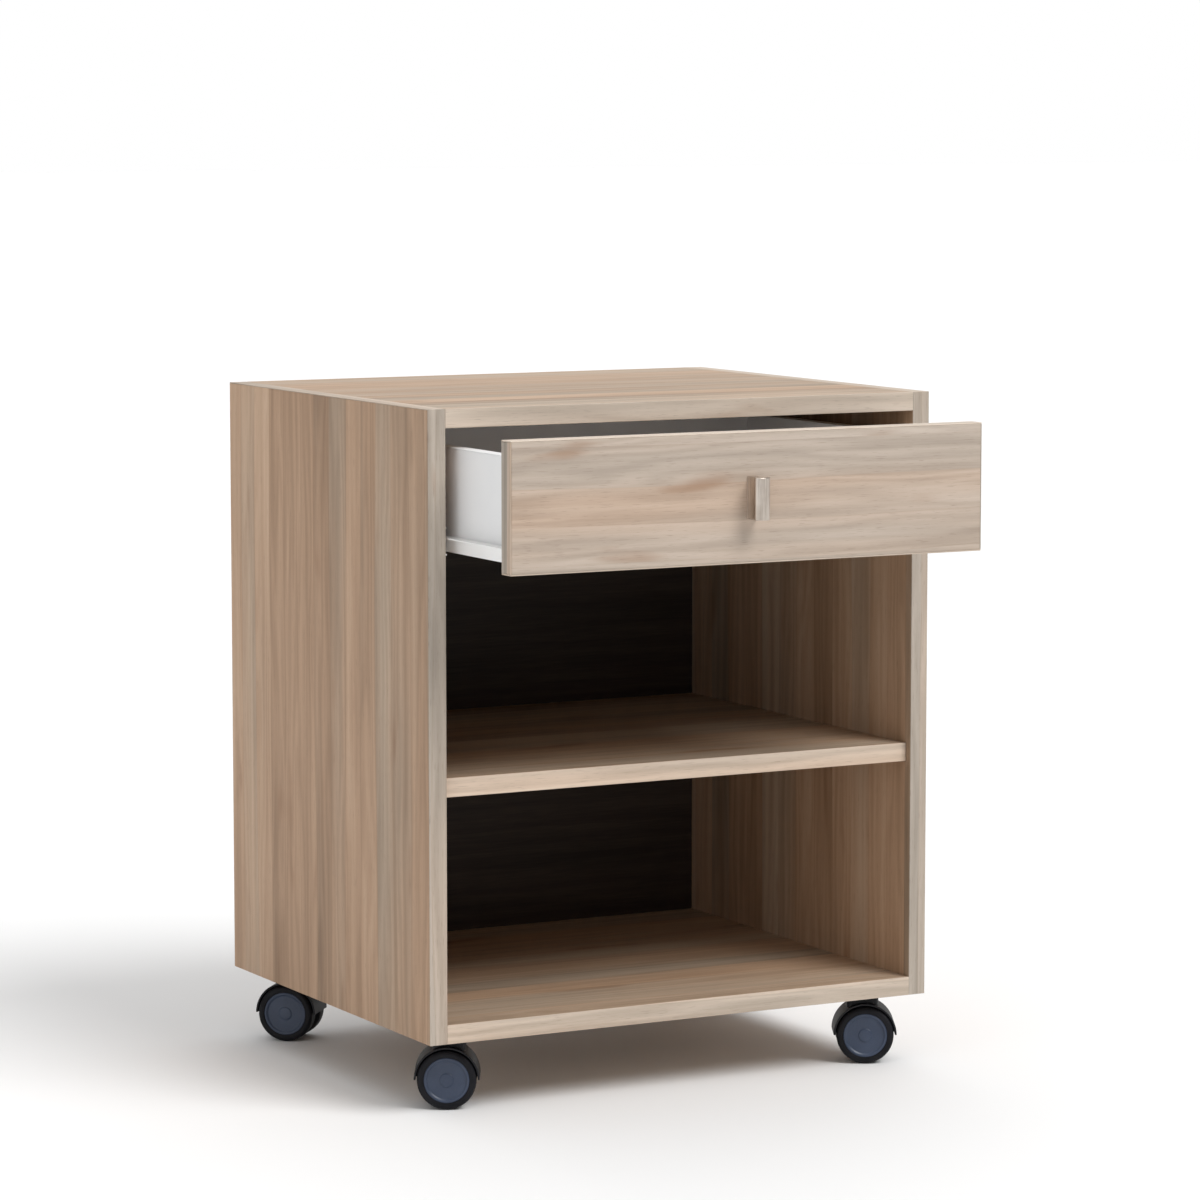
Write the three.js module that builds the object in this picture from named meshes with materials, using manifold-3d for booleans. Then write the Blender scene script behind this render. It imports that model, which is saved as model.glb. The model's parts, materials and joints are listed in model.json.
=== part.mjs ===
// Mobile printer stand: an open chipboard cabinet on four twin-wheel swivel casters, with one shelf
// and one shallow drawer on roller runners. Units are millimetres and +Z is up. The origin is on the
// floor under the middle of the cabinet, the front faces -Y, and +X is to the right of someone who
// faces the front. The drawer stands part open and each caster is turned its own way.

import * as THREE from 'three';
import { mergeVertices } from 'three/addons/utils/BufferGeometryUtils.js';
import Module from 'manifold-3d';

const wasm = await Module();
wasm.setup();

// ---- Driving dimensions ---------------------------------------------------------------------------

// Cabinet
const WIDTH = 480;
const DEPTH = 400;
const HEIGHT = 588;
const BOARD = 16;

// Back panel, which slides up grooves in the sides and the top panel
const BACK_THICKNESS = 3;
const BACK_INSET = 10;
const GROOVE_DEPTH = 5;
const GROOVE_PLAY = 0.2;

// Shelf and the pins that it rests on
const LOWER_BAY_HEIGHT = 189;
const SHELF_SETBACK = 7;
const SHELF_SIDE_GAP = 0.5;
const SHELF_REAR_GAP = 1;
const PIN_RADIUS = 2.5;
const PIN_HEAD_RADIUS = 4.5;
const PIN_REACH = 8;
const PIN_SEAT = 9;
const PIN_INSET = 50;

// Cam fittings that pull the top and bottom panels against the sides
const CAM_RADIUS = 7.5;
const CAM_DEPTH = 12.5;
const CAM_FROM_END = 34;
const CAM_INSET = 90;
const CAM_BOLT_RADIUS = 3;
const CAM_THREAD_RADIUS = 2.5;
const CAM_THREAD_LENGTH = 11;
const CAM_SLOT_WIDTH = 1.4;
const CAM_SLOT_DEPTH = 2;

// Drawer
const DRAWER_OPENING = 112;
const FRONT_HEIGHT = 108;
const FRONT_TOP_GAP = 3;
const FRONT_SIDE_GAP = 2;
const BOX_DROP = 14;
const BOX_RISE = 9;
const BOX_BOARD = 12;
const BOX_REAR_GAP = 21;
const BOX_FLOOR_THICKNESS = 3;
const BOX_FLOOR_RISE = 8;
const BOX_GROOVE_DEPTH = 4;
const BOX_GROOVE_PLAY = 0.4;

// Roller runners, which keep RUNNER_OVERLAP of their length together when the drawer is fully open
const RUNNER_SPACE = 12.5;
const RUNNER_OVERLAP = 88;
const RUNNER_STEEL = 1.2;
const RUNNER_SETBACK = 2;
const RUNNER_LIP = 10;
const RUNNER_RISE = 12;
const ROLLER_INNER_GAP = 1.85;
const ROLLER_OUTER_GAP = 1.25;
const ROLLER_PIN_RADIUS = 2.5;
const RIVET_HEAD_RADIUS = 3.5;
const RIVET_HEAD_LENGTH = 0.6;
const FRONT_ROLLER_RADIUS = 6.5;
const FRONT_ROLLER_INSET = 9;
const REAR_ROLLER_RADIUS = 10;
const REAR_ROLLER_INSET = 12;
const ROLLER_PLAY = 0.3;
const CHANNEL_HEADROOM = 0.5;
const CHANNEL_SIDE_GAP = 1.3;
const STOP_HEIGHT = 4.8;
const STOP_LENGTH = 3;
const RUNNER_SCREW_RADIUS = 2.2;
const RUNNER_SCREW_INSET = 37;

// Knob
const KNOB_HEIGHT = 35;
const KNOB_WIDTH = 14;
const KNOB_REACH = 20;
const KNOB_BASE_WIDTH = 11;
const KNOB_WAIST_WIDTH = 7;
const KNOB_WAIST_AT = 8;
const KNOB_FACE_DEPTH = 4;
const KNOB_CROWN = 1;
const KNOB_EDGE = 0.8;
const KNOB_SCREW_RADIUS = 2;
const KNOB_SCREW_HOLD = 10;
const KNOB_SCREW_HEAD_RADIUS = 4;
const KNOB_SCREW_HEAD_LENGTH = 2.5;

// Casters: the cabinet stands CASTER_HEADROOM above the tops of the wheels
const CASTER_HEADROOM = 12;
const CASTER_INSET_X = 44;
const CASTER_INSET_Y = 42;
const WHEEL_RADIUS = 25;
const WHEEL_WIDTH = 14;
const WHEEL_EDGE = 2;
const WHEEL_DISH_RADIUS = 17;
const WHEEL_DISH_DEPTH = 1.6;
const WHEEL_BOSS_RADIUS = 6;
const WEB_THICKNESS = 11;
const WEB_GAP = 0.5;
const TRAIL = 7;
const AXLE_RADIUS = 3;
const AXLE_COVER = 1.6;
const HOOD_GAP = 1;
const HOOD_WALL = 1.6;
const HOOD_SETBACK = 2;
const NECK_LENGTH = 28;
const NECK_SHIFT = 5;
const NECK_WIDTH = 24;
const KINGPIN_RADIUS = 3;
const KINGPIN_DEPTH = 26;
const KINGPIN_COLLAR_RADIUS = 8;
const KINGPIN_COLLAR_LENGTH = 1.5;
const KINGPIN_RIVET_RADIUS = 4;
const PLATE_SIZE = 38;
const PLATE_THICKNESS = 2.5;
const PLATE_CORNER = 5;
const PLATE_HOLE_RADIUS = 2.3;
const PLATE_HOLE_INSET = 5.5;

// The way each caster's wheels trail from its swivel axis, in degrees from +X towards +Y
const CASTERS = [
  { name: 'caster_front_left', side: -1, end: -1, heading: 152 },
  { name: 'caster_front_right', side: 1, end: -1, heading: -28 },
  { name: 'caster_rear_left', side: -1, end: 1, heading: 138 },
  { name: 'caster_rear_right', side: 1, end: 1, heading: 70 },
];

// Clearances: FIT is left round a pin in its hole, and GAP between turned pieces that would touch
const FIT = 0.1;
const GAP = 0.3;

// Facets round a full circle
const FINE = 32;
const COARSE = 16;

// ---- Places worked out from them ------------------------------------------------------------------

const FRONT = -DEPTH / 2;
const REAR = DEPTH / 2;
const INNER = WIDTH / 2 - BOARD;
const CASTER_HEIGHT = 2 * WHEEL_RADIUS + CASTER_HEADROOM;
const TOP_UNDER = HEIGHT - BOARD;
const FLOOR_TOP = CASTER_HEIGHT + BOARD;
const BACK_REAR = REAR - BACK_INSET;
const BACK_FRONT = BACK_REAR - BACK_THICKNESS;
const SHELF_UNDER = FLOOR_TOP + LOWER_BAY_HEIGHT;
const SHELF_FRONT = FRONT + SHELF_SETBACK;
const SHELF_REAR = BACK_FRONT - SHELF_REAR_GAP;

// The drawer's places are those it has when shut
const DRAWER_FRONT_REAR = FRONT + BOARD;
const DRAWER_FRONT_TOP = TOP_UNDER - FRONT_TOP_GAP;
const DRAWER_FRONT_UNDER = DRAWER_FRONT_TOP - FRONT_HEIGHT;
const BOX_OUTER = INNER - RUNNER_SPACE;
const BOX_INNER = BOX_OUTER - BOX_BOARD;
const BOX_TOP = DRAWER_FRONT_TOP - BOX_DROP;
const BOX_UNDER = DRAWER_FRONT_UNDER + BOX_RISE;
const BOX_REAR = BACK_FRONT - BOX_REAR_GAP;
const BOX_FLOOR_UNDER = BOX_UNDER + BOX_FLOOR_RISE;
const BOX_FLOOR_TOP = BOX_FLOOR_UNDER + BOX_FLOOR_THICKNESS;
const KNOB_CENTRE = (DRAWER_FRONT_TOP + DRAWER_FRONT_UNDER) / 2;
const KNOB_SHOULDER = KNOB_REACH - KNOB_FACE_DEPTH;

// Runners: the drawer rail's flange rides on the front roller, and the drawer's rear roller runs on
// the lower flange of the cabinet rail
const FLANGE_TOP = BOX_UNDER + RUNNER_RISE;
const FLANGE_UNDER = FLANGE_TOP - RUNNER_STEEL;
const FRONT_ROLLER_Z = FLANGE_UNDER - ROLLER_PLAY - FRONT_ROLLER_RADIUS;
const TRACK_TOP = FRONT_ROLLER_Z - FRONT_ROLLER_RADIUS - ROLLER_PLAY;
const REAR_ROLLER_Z = TRACK_TOP + ROLLER_PLAY + REAR_ROLLER_RADIUS;
const CHANNEL_UNDER = REAR_ROLLER_Z + REAR_ROLLER_RADIUS + CHANNEL_HEADROOM;
const RAIL_FRONT = DRAWER_FRONT_REAR + RUNNER_SETBACK;
const RAIL_REAR = BOX_REAR + RUNNER_SETBACK;
const OPENING_LIMIT = RAIL_REAR - RAIL_FRONT - RUNNER_OVERLAP;
const FRONT_ROLLER_Y = RAIL_FRONT + FRONT_ROLLER_INSET;
const REAR_ROLLER_Y = BOX_REAR - REAR_ROLLER_INSET;
const RAIL_FACE = BOX_OUTER + RUNNER_STEEL;
const CHANNEL_MOUTH = RAIL_FACE + CHANNEL_SIDE_GAP;
const WEB_FACE = INNER - RUNNER_STEEL;
const ROLLER_INNER = RAIL_FACE + ROLLER_INNER_GAP;
const ROLLER_OUTER = WEB_FACE - ROLLER_OUTER_GAP;

const PLATE_UNDER = CASTER_HEIGHT - PLATE_THICKNESS;
const COLLAR_UNDER = PLATE_UNDER - KINGPIN_COLLAR_LENGTH;
const HOOD_TOP = COLLAR_UNDER - GAP;
const HOOD_INNER_RADIUS = WHEEL_RADIUS + HOOD_GAP;
const HOOD_OUTER_RADIUS = HOOD_INNER_RADIUS + HOOD_WALL;
const WHEEL_INNER_FACE = WEB_THICKNESS / 2 + WEB_GAP;
const WHEEL_OUTER_FACE = WHEEL_INNER_FACE + WHEEL_WIDTH;
const AXLE_END = WHEEL_OUTER_FACE - WHEEL_DISH_DEPTH - AXLE_COVER;

// ---- Materials ------------------------------------------------------------------------------------

function surface(color, roughness, metalness) {
  return new THREE.MeshStandardMaterial({ color, roughness, metalness });
}

const OAK = surface(0xbfa98f, 0.55, 0);
const WHITE_BOARD = surface(0xe4e4e2, 0.45, 0);
const WHITE_STEEL = surface(0xeceae6, 0.35, 0.1);
const WHITE_NYLON = surface(0xf0efeb, 0.5, 0);
const ZINC = surface(0xa9abac, 0.4, 0.9);
const BRIGHT_STEEL = surface(0xb8b9ba, 0.3, 1);
const SATIN_METAL = surface(0xc2b3a2, 0.35, 0.9);
const BLACK_PLASTIC = surface(0x17181b, 0.45, 0);
const WHEEL_PLASTIC = surface(0x3a4250, 0.5, 0);

// ---- Shape helpers --------------------------------------------------------------------------------

// A box between two opposite corners, given in any order
function block(a, b) {
  const size = a.map((value, i) => Math.abs(b[i] - value));
  const centre = a.map((value, i) => (b[i] + value) / 2);
  return new THREE.BoxGeometry(...size).translate(...centre);
}

// A round bar whose axis runs between two points
function bar(radius, from, to, facets = COARSE) {
  const start = new THREE.Vector3(...from);
  const along = new THREE.Vector3(...to).sub(start);
  const geometry = new THREE.CylinderGeometry(radius, radius, along.length(), facets);
  const turn = new THREE.Quaternion().setFromUnitVectors(
    new THREE.Vector3(0, 1, 0),
    along.clone().normalize(),
  );
  geometry.applyQuaternion(turn);
  const middle = start.addScaledVector(along, 0.5);
  return geometry.translate(middle.x, middle.y, middle.z);
}

// A plan outline raised from one height to another
function prism(outline, bottom, top, facets = COARSE) {
  const geometry = new THREE.ExtrudeGeometry(outline, {
    depth: top - bottom,
    bevelEnabled: false,
    curveSegments: facets / 4,
  });
  return geometry.translate(0, 0, bottom);
}

function roundedRectangle(width, length, corner) {
  const x = width / 2;
  const y = length / 2;
  const shape = new THREE.Shape();
  shape.moveTo(corner - x, -y);
  shape.lineTo(x - corner, -y);
  shape.absarc(x - corner, corner - y, corner, -Math.PI / 2, 0);
  shape.lineTo(x, y - corner);
  shape.absarc(x - corner, y - corner, corner, 0, Math.PI / 2);
  shape.lineTo(corner - x, y);
  shape.absarc(corner - x, y - corner, corner, Math.PI / 2, Math.PI);
  shape.lineTo(-x, corner - y);
  shape.absarc(corner - x, corner - y, corner, Math.PI, Math.PI * 1.5);
  return shape;
}

function toSolid(geometry) {
  const bare = geometry.clone();
  bare.deleteAttribute('normal');
  bare.deleteAttribute('uv');
  const merged = mergeVertices(bare, 1e-4);
  return new wasm.Manifold(new wasm.Mesh({
    numProp: 3,
    vertProperties: new Float32Array(merged.attributes.position.array),
    triVerts: new Uint32Array(merged.index.array),
  }));
}

function toGeometry(solid) {
  const mesh = solid.getMesh();
  const geometry = new THREE.BufferGeometry();
  geometry.setAttribute('position', new THREE.BufferAttribute(mesh.vertProperties, 3));
  geometry.setIndex(new THREE.BufferAttribute(mesh.triVerts, 1));
  geometry.computeVertexNormals();
  return geometry;
}

function join(...geometries) {
  return toGeometry(geometries.map(toSolid).reduce((whole, piece) => whole.add(piece)));
}

function cut(geometry, ...tools) {
  return toGeometry(tools.map(toSolid).reduce((rest, tool) => rest.subtract(tool), toSolid(geometry)));
}

// ---- Assembly helpers -----------------------------------------------------------------------------

const stand = new THREE.Group();

function add(parent, name, material, geometry) {
  const mesh = new THREE.Mesh(geometry, material.clone());
  mesh.name = name;
  parent.add(mesh);
  return mesh;
}

function sideName(side) {
  return side < 0 ? 'left' : 'right';
}

function endName(end) {
  return end < 0 ? 'front' : 'rear';
}

// ---- Cam fittings and shelf pins: their places, the holes for them and the pieces ----------------

// The panel that a fitting is let into: its underside takes the cam, and its end takes the bolt
const FITTED_PANELS = [
  { name: 'top', under: TOP_UNDER },
  { name: 'bottom', under: CASTER_HEIGHT },
];

function camShape(side, end, under, play) {
  const x = side * (INNER - CAM_FROM_END);
  const y = end * (DEPTH / 2 - CAM_INSET);
  const axis = under + BOARD / 2;
  const tip = side * (INNER + CAM_THREAD_LENGTH + play);
  return [
    bar(CAM_RADIUS + play, [x, y, under], [x, y, under + CAM_DEPTH + play]),
    bar(CAM_BOLT_RADIUS + play, [x, y, axis], [side * INNER, y, axis]),
    bar(CAM_THREAD_RADIUS + play, [side * (INNER - CAM_BOLT_RADIUS), y, axis], [tip, y, axis]),
  ];
}

function camFitting(side, end, under) {
  const x = side * (INNER - CAM_FROM_END);
  const y = end * (DEPTH / 2 - CAM_INSET);
  const slot = block(
    [x - CAM_RADIUS, y - CAM_SLOT_WIDTH / 2, under],
    [x + CAM_RADIUS, y + CAM_SLOT_WIDTH / 2, under + CAM_SLOT_DEPTH],
  );
  return cut(join(...camShape(side, end, under, 0)), slot);
}

function camHoles(side, under) {
  return [-1, 1].flatMap((end) => camShape(side, end, under, FIT));
}

function pinPlace(end) {
  return end < 0 ? SHELF_FRONT + PIN_INSET : SHELF_REAR - PIN_INSET;
}

function pinHole(side, end) {
  const y = pinPlace(end);
  const z = SHELF_UNDER - PIN_RADIUS;
  return bar(PIN_RADIUS, [side * (INNER - GAP), y, z], [side * (INNER + PIN_SEAT), y, z]);
}

// A pin whose head is flattened where the shelf lies on it
function shelfPin(side, end) {
  const y = pinPlace(end);
  const z = SHELF_UNDER - PIN_RADIUS;
  const stem = bar(PIN_RADIUS - FIT, [side * (INNER - GAP), y, z], [side * (INNER + PIN_SEAT - GAP), y, z]);
  const head = bar(PIN_HEAD_RADIUS, [side * (INNER - PIN_REACH), y, z], [side * INNER, y, z]);
  const above = block(
    [side * (INNER - 2 * PIN_REACH), y - 2 * PIN_HEAD_RADIUS, SHELF_UNDER],
    [side * INNER, y + 2 * PIN_HEAD_RADIUS, SHELF_UNDER + 2 * PIN_HEAD_RADIUS],
  );
  return cut(join(stem, head), above);
}

// ---- Cabinet --------------------------------------------------------------------------------------

function sidePanel(side) {
  const panel = block([side * INNER, FRONT, CASTER_HEIGHT], [side * WIDTH / 2, REAR, HEIGHT]);
  const groove = block(
    [side * (INNER - GAP), BACK_FRONT - GROOVE_PLAY, CASTER_HEIGHT - GAP],
    [side * (INNER + GROOVE_DEPTH), BACK_REAR + GROOVE_PLAY, TOP_UNDER + GROOVE_DEPTH],
  );
  const bolts = FITTED_PANELS.flatMap(({ under }) => camHoles(side, under));
  return cut(panel, groove, ...bolts, pinHole(side, -1), pinHole(side, 1));
}

function topPanel() {
  const panel = block([-INNER, FRONT, TOP_UNDER], [INNER, REAR, HEIGHT]);
  const groove = block(
    [-INNER - GAP, BACK_FRONT - GROOVE_PLAY, TOP_UNDER - GAP],
    [INNER + GAP, BACK_REAR + GROOVE_PLAY, TOP_UNDER + GROOVE_DEPTH],
  );
  return cut(panel, groove, ...camHoles(-1, TOP_UNDER), ...camHoles(1, TOP_UNDER));
}

function bottomPanel() {
  const panel = block([-INNER, FRONT, CASTER_HEIGHT], [INNER, BACK_FRONT - GROOVE_PLAY, FLOOR_TOP]);
  return cut(panel, ...camHoles(-1, CASTER_HEIGHT), ...camHoles(1, CASTER_HEIGHT));
}

function backPanel() {
  const reach = INNER + GROOVE_DEPTH - GROOVE_PLAY;
  const top = TOP_UNDER + GROOVE_DEPTH - GROOVE_PLAY;
  return block([-reach, BACK_FRONT, CASTER_HEIGHT], [reach, BACK_REAR, top]);
}

function middleShelf() {
  const reach = INNER - SHELF_SIDE_GAP;
  return block([-reach, SHELF_FRONT, SHELF_UNDER], [reach, SHELF_REAR, SHELF_UNDER + BOARD]);
}

function buildCabinet() {
  for (const side of [-1, 1]) {
    add(stand, `${sideName(side)}_side_panel`, OAK, sidePanel(side));
  }
  add(stand, 'top_panel', OAK, topPanel());
  add(stand, 'bottom_panel', OAK, bottomPanel());
  add(stand, 'back_panel', OAK, backPanel());
  add(stand, 'middle_shelf', OAK, middleShelf());
  for (const side of [-1, 1]) {
    for (const end of [-1, 1]) {
      const place = `${sideName(side)}_${endName(end)}`;
      add(stand, `shelf_pin_${place}`, BRIGHT_STEEL, shelfPin(side, end));
      for (const { name, under } of FITTED_PANELS) {
        add(stand, `cam_fitting_${name}_${place}`, ZINC, camFitting(side, end, under));
      }
    }
  }
}

// ---- Roller runners -------------------------------------------------------------------------------

// Places of the screws along a rail, one near each end and one midway
function screwPlaces(front, rear) {
  return [front + RUNNER_SCREW_INSET, (front + rear) / 2, rear - RUNNER_SCREW_INSET];
}

// A channel screwed to the cabinet side, with a pin for the front roller, a lug that stops the
// drawer's rear roller when the drawer is fully open, and a tab that stops it when shut
function cabinetRail(side) {
  const web = block([side * WEB_FACE, RAIL_FRONT, TRACK_TOP - RUNNER_STEEL],
    [side * INNER, RAIL_REAR, CHANNEL_UNDER + RUNNER_STEEL]);
  const track = block([side * CHANNEL_MOUTH, RAIL_FRONT, TRACK_TOP - RUNNER_STEEL],
    [side * INNER, RAIL_REAR, TRACK_TOP]);
  const roof = block([side * CHANNEL_MOUTH, RAIL_FRONT, CHANNEL_UNDER],
    [side * INNER, RAIL_REAR, CHANNEL_UNDER + RUNNER_STEEL]);
  const pin = bar(ROLLER_PIN_RADIUS, [side * (ROLLER_INNER - GAP), FRONT_ROLLER_Y, FRONT_ROLLER_Z],
    [side * INNER, FRONT_ROLLER_Y, FRONT_ROLLER_Z]);
  const head = bar(RIVET_HEAD_RADIUS,
    [side * (ROLLER_INNER - GAP - RIVET_HEAD_LENGTH), FRONT_ROLLER_Y, FRONT_ROLLER_Z],
    [side * (ROLLER_INNER - GAP), FRONT_ROLLER_Y, FRONT_ROLLER_Z]);
  const drop = REAR_ROLLER_Z - TRACK_TOP - STOP_HEIGHT;
  const contact = Math.sqrt(REAR_ROLLER_RADIUS ** 2 - drop ** 2);
  const lugRear = REAR_ROLLER_Y - OPENING_LIMIT - contact - GAP;
  const lug = block([side * ROLLER_INNER, lugRear - STOP_LENGTH, TRACK_TOP - RUNNER_STEEL],
    [side * INNER, lugRear, TRACK_TOP + STOP_HEIGHT]);
  const tabFront = REAR_ROLLER_Y + REAR_ROLLER_RADIUS + GAP;
  const tab = block([side * ROLLER_INNER, tabFront, TRACK_TOP - RUNNER_STEEL],
    [side * INNER, tabFront + RUNNER_STEEL, CHANNEL_UNDER + RUNNER_STEEL]);
  const screwZ = (TRACK_TOP + CHANNEL_UNDER) / 2;
  const holes = screwPlaces(RAIL_FRONT, RAIL_REAR).map((y) => bar(RUNNER_SCREW_RADIUS,
    [side * (WEB_FACE - GAP), y, screwZ], [side * (INNER + GAP), y, screwZ], COARSE / 2));
  return cut(join(web, track, roof, pin, head, lug, tab), ...holes);
}

// An angle under the drawer side's lower edge, with a flange that rides on the front roller and a
// pin for the rear roller
function drawerRail(side) {
  const front = DRAWER_FRONT_REAR + GAP;
  const flangeRear = REAR_ROLLER_Y - REAR_ROLLER_RADIUS - CHANNEL_SIDE_GAP;
  const lip = block([side * (BOX_OUTER - RUNNER_LIP), front, BOX_UNDER - RUNNER_STEEL],
    [side * RAIL_FACE, BOX_REAR, BOX_UNDER]);
  const wall = block([side * BOX_OUTER, front, BOX_UNDER - RUNNER_STEEL],
    [side * RAIL_FACE, BOX_REAR, FLANGE_TOP]);
  const flange = block([side * BOX_OUTER, front, FLANGE_UNDER],
    [side * ROLLER_OUTER, flangeRear, FLANGE_TOP]);
  const pin = bar(ROLLER_PIN_RADIUS, [side * BOX_OUTER, REAR_ROLLER_Y, REAR_ROLLER_Z],
    [side * (ROLLER_OUTER + GAP), REAR_ROLLER_Y, REAR_ROLLER_Z]);
  const head = bar(RIVET_HEAD_RADIUS, [side * (ROLLER_OUTER + GAP), REAR_ROLLER_Y, REAR_ROLLER_Z],
    [side * (ROLLER_OUTER + GAP + RIVET_HEAD_LENGTH), REAR_ROLLER_Y, REAR_ROLLER_Z]);
  const lipScrewX = side * (BOX_OUTER - BOX_BOARD / 2);
  const holes = screwPlaces(front, BOX_REAR).map((y) => bar(RUNNER_SCREW_RADIUS,
    [lipScrewX, y, BOX_UNDER - RUNNER_STEEL - GAP], [lipScrewX, y, BOX_UNDER + GAP], COARSE / 2));
  return cut(join(lip, wall, flange, pin, head), ...holes);
}

function roller(side, radius, y, z) {
  const body = bar(radius, [side * ROLLER_INNER, y, z], [side * ROLLER_OUTER, y, z]);
  const bore = bar(ROLLER_PIN_RADIUS + FIT, [side * (ROLLER_INNER - GAP), y, z],
    [side * (ROLLER_OUTER + GAP), y, z]);
  return cut(body, bore);
}

function buildCabinetRunners() {
  for (const side of [-1, 1]) {
    const place = sideName(side);
    add(stand, `cabinet_rail_${place}`, WHITE_STEEL, cabinetRail(side));
    add(stand, `cabinet_roller_${place}`, WHITE_NYLON,
      roller(side, FRONT_ROLLER_RADIUS, FRONT_ROLLER_Y, FRONT_ROLLER_Z));
  }
}

// ---- Drawer ---------------------------------------------------------------------------------------

// The slot for the drawer floor, cut into the front and both sides
function floorSlot() {
  const reach = BOX_INNER + BOX_GROOVE_DEPTH;
  return block([-reach, DRAWER_FRONT_REAR - BOX_GROOVE_DEPTH, BOX_FLOOR_UNDER],
    [reach, BOX_REAR + GAP, BOX_FLOOR_TOP + BOX_GROOVE_PLAY]);
}

function drawerFront() {
  const reach = INNER - FRONT_SIDE_GAP;
  const panel = block([-reach, FRONT, DRAWER_FRONT_UNDER], [reach, DRAWER_FRONT_REAR, DRAWER_FRONT_TOP]);
  const hole = bar(KNOB_SCREW_RADIUS + FIT, [0, FRONT - GAP, KNOB_CENTRE],
    [0, DRAWER_FRONT_REAR + GAP, KNOB_CENTRE]);
  return cut(panel, floorSlot(), hole);
}

function drawerSide(side) {
  const panel = block([side * BOX_INNER, DRAWER_FRONT_REAR, BOX_UNDER], [side * BOX_OUTER, BOX_REAR, BOX_TOP]);
  return cut(panel, floorSlot());
}

function drawerBack() {
  return block([-BOX_INNER, BOX_REAR - BOX_BOARD, BOX_FLOOR_TOP], [BOX_INNER, BOX_REAR, BOX_TOP]);
}

function drawerFloor() {
  const reach = BOX_INNER + BOX_GROOVE_DEPTH - GAP;
  return block([-reach, DRAWER_FRONT_REAR - BOX_GROOVE_DEPTH + GAP, BOX_FLOOR_UNDER],
    [reach, BOX_REAR, BOX_FLOOR_TOP]);
}

// A short upright bar, waisted behind its face so that fingers can hold it
function knob() {
  const base = KNOB_BASE_WIDTH / 2;
  const waist = KNOB_WAIST_WIDTH / 2;
  const face = KNOB_WIDTH / 2;
  const flare = -(KNOB_WAIST_AT + KNOB_SHOULDER) / 2;
  const outline = new THREE.Shape();
  outline.moveTo(-base, 2 * KNOB_EDGE);
  outline.lineTo(-base, 0);
  outline.quadraticCurveTo(-waist, -KNOB_WAIST_AT / 2, -waist, -KNOB_WAIST_AT);
  outline.quadraticCurveTo(-waist, flare, -face, -KNOB_SHOULDER);
  outline.quadraticCurveTo(-face, KNOB_CROWN - KNOB_REACH, 0, -KNOB_REACH);
  outline.quadraticCurveTo(face, KNOB_CROWN - KNOB_REACH, face, -KNOB_SHOULDER);
  outline.quadraticCurveTo(waist, flare, waist, -KNOB_WAIST_AT);
  outline.quadraticCurveTo(waist, -KNOB_WAIST_AT / 2, base, 0);
  outline.lineTo(base, 2 * KNOB_EDGE);
  const body = new THREE.ExtrudeGeometry(outline, {
    depth: KNOB_HEIGHT - 2 * KNOB_EDGE,
    bevelSize: KNOB_EDGE,
    bevelThickness: KNOB_EDGE,
    bevelOffset: -KNOB_EDGE,
    bevelSegments: 2,
    curveSegments: 4,
  });
  body.translate(0, FRONT, KNOB_CENTRE - KNOB_HEIGHT / 2 + KNOB_EDGE);
  const behind = block([-KNOB_WIDTH, FRONT, KNOB_CENTRE - KNOB_HEIGHT],
    [KNOB_WIDTH, DRAWER_FRONT_REAR, KNOB_CENTRE + KNOB_HEIGHT]);
  const hole = bar(KNOB_SCREW_RADIUS + FIT, [0, FRONT + GAP, KNOB_CENTRE],
    [0, FRONT - KNOB_SCREW_HOLD - GAP, KNOB_CENTRE]);
  return cut(body, behind, hole);
}

function knobScrew() {
  const shank = bar(KNOB_SCREW_RADIUS, [0, FRONT - KNOB_SCREW_HOLD, KNOB_CENTRE],
    [0, DRAWER_FRONT_REAR + KNOB_SCREW_HEAD_LENGTH, KNOB_CENTRE]);
  const head = bar(KNOB_SCREW_HEAD_RADIUS, [0, DRAWER_FRONT_REAR, KNOB_CENTRE],
    [0, DRAWER_FRONT_REAR + KNOB_SCREW_HEAD_LENGTH, KNOB_CENTRE]);
  return join(shank, head);
}

function buildDrawer() {
  const drawer = new THREE.Group();
  drawer.position.y = -DRAWER_OPENING;
  stand.add(drawer);
  add(drawer, 'drawer_front', OAK, drawerFront());
  for (const side of [-1, 1]) {
    const place = sideName(side);
    add(drawer, `drawer_${place}_side`, WHITE_BOARD, drawerSide(side));
    add(drawer, `drawer_rail_${place}`, WHITE_STEEL, drawerRail(side));
    add(drawer, `drawer_roller_${place}`, WHITE_NYLON,
      roller(side, REAR_ROLLER_RADIUS, REAR_ROLLER_Y, REAR_ROLLER_Z));
  }
  add(drawer, 'drawer_back', WHITE_BOARD, drawerBack());
  add(drawer, 'drawer_floor', WHITE_BOARD, drawerFloor());
  add(drawer, 'drawer_knob', SATIN_METAL, knob());
  add(drawer, 'knob_screw', BRIGHT_STEEL, knobScrew());
}

// ---- Casters --------------------------------------------------------------------------------------

function plate() {
  const sheet = prism(roundedRectangle(PLATE_SIZE, PLATE_SIZE, PLATE_CORNER), PLATE_UNDER, CASTER_HEIGHT);
  const holes = [-1, 1].flatMap((i) => [-1, 1].map((j) => {
    const x = i * (PLATE_SIZE / 2 - PLATE_HOLE_INSET);
    const y = j * (PLATE_SIZE / 2 - PLATE_HOLE_INSET);
    return bar(PLATE_HOLE_RADIUS, [x, y, PLATE_UNDER - GAP], [x, y, CASTER_HEIGHT + GAP], COARSE / 2);
  }));
  const eye = bar(KINGPIN_RIVET_RADIUS + FIT, [0, 0, PLATE_UNDER - GAP], [0, 0, CASTER_HEIGHT + GAP]);
  return cut(sheet, eye, ...holes);
}

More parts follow.
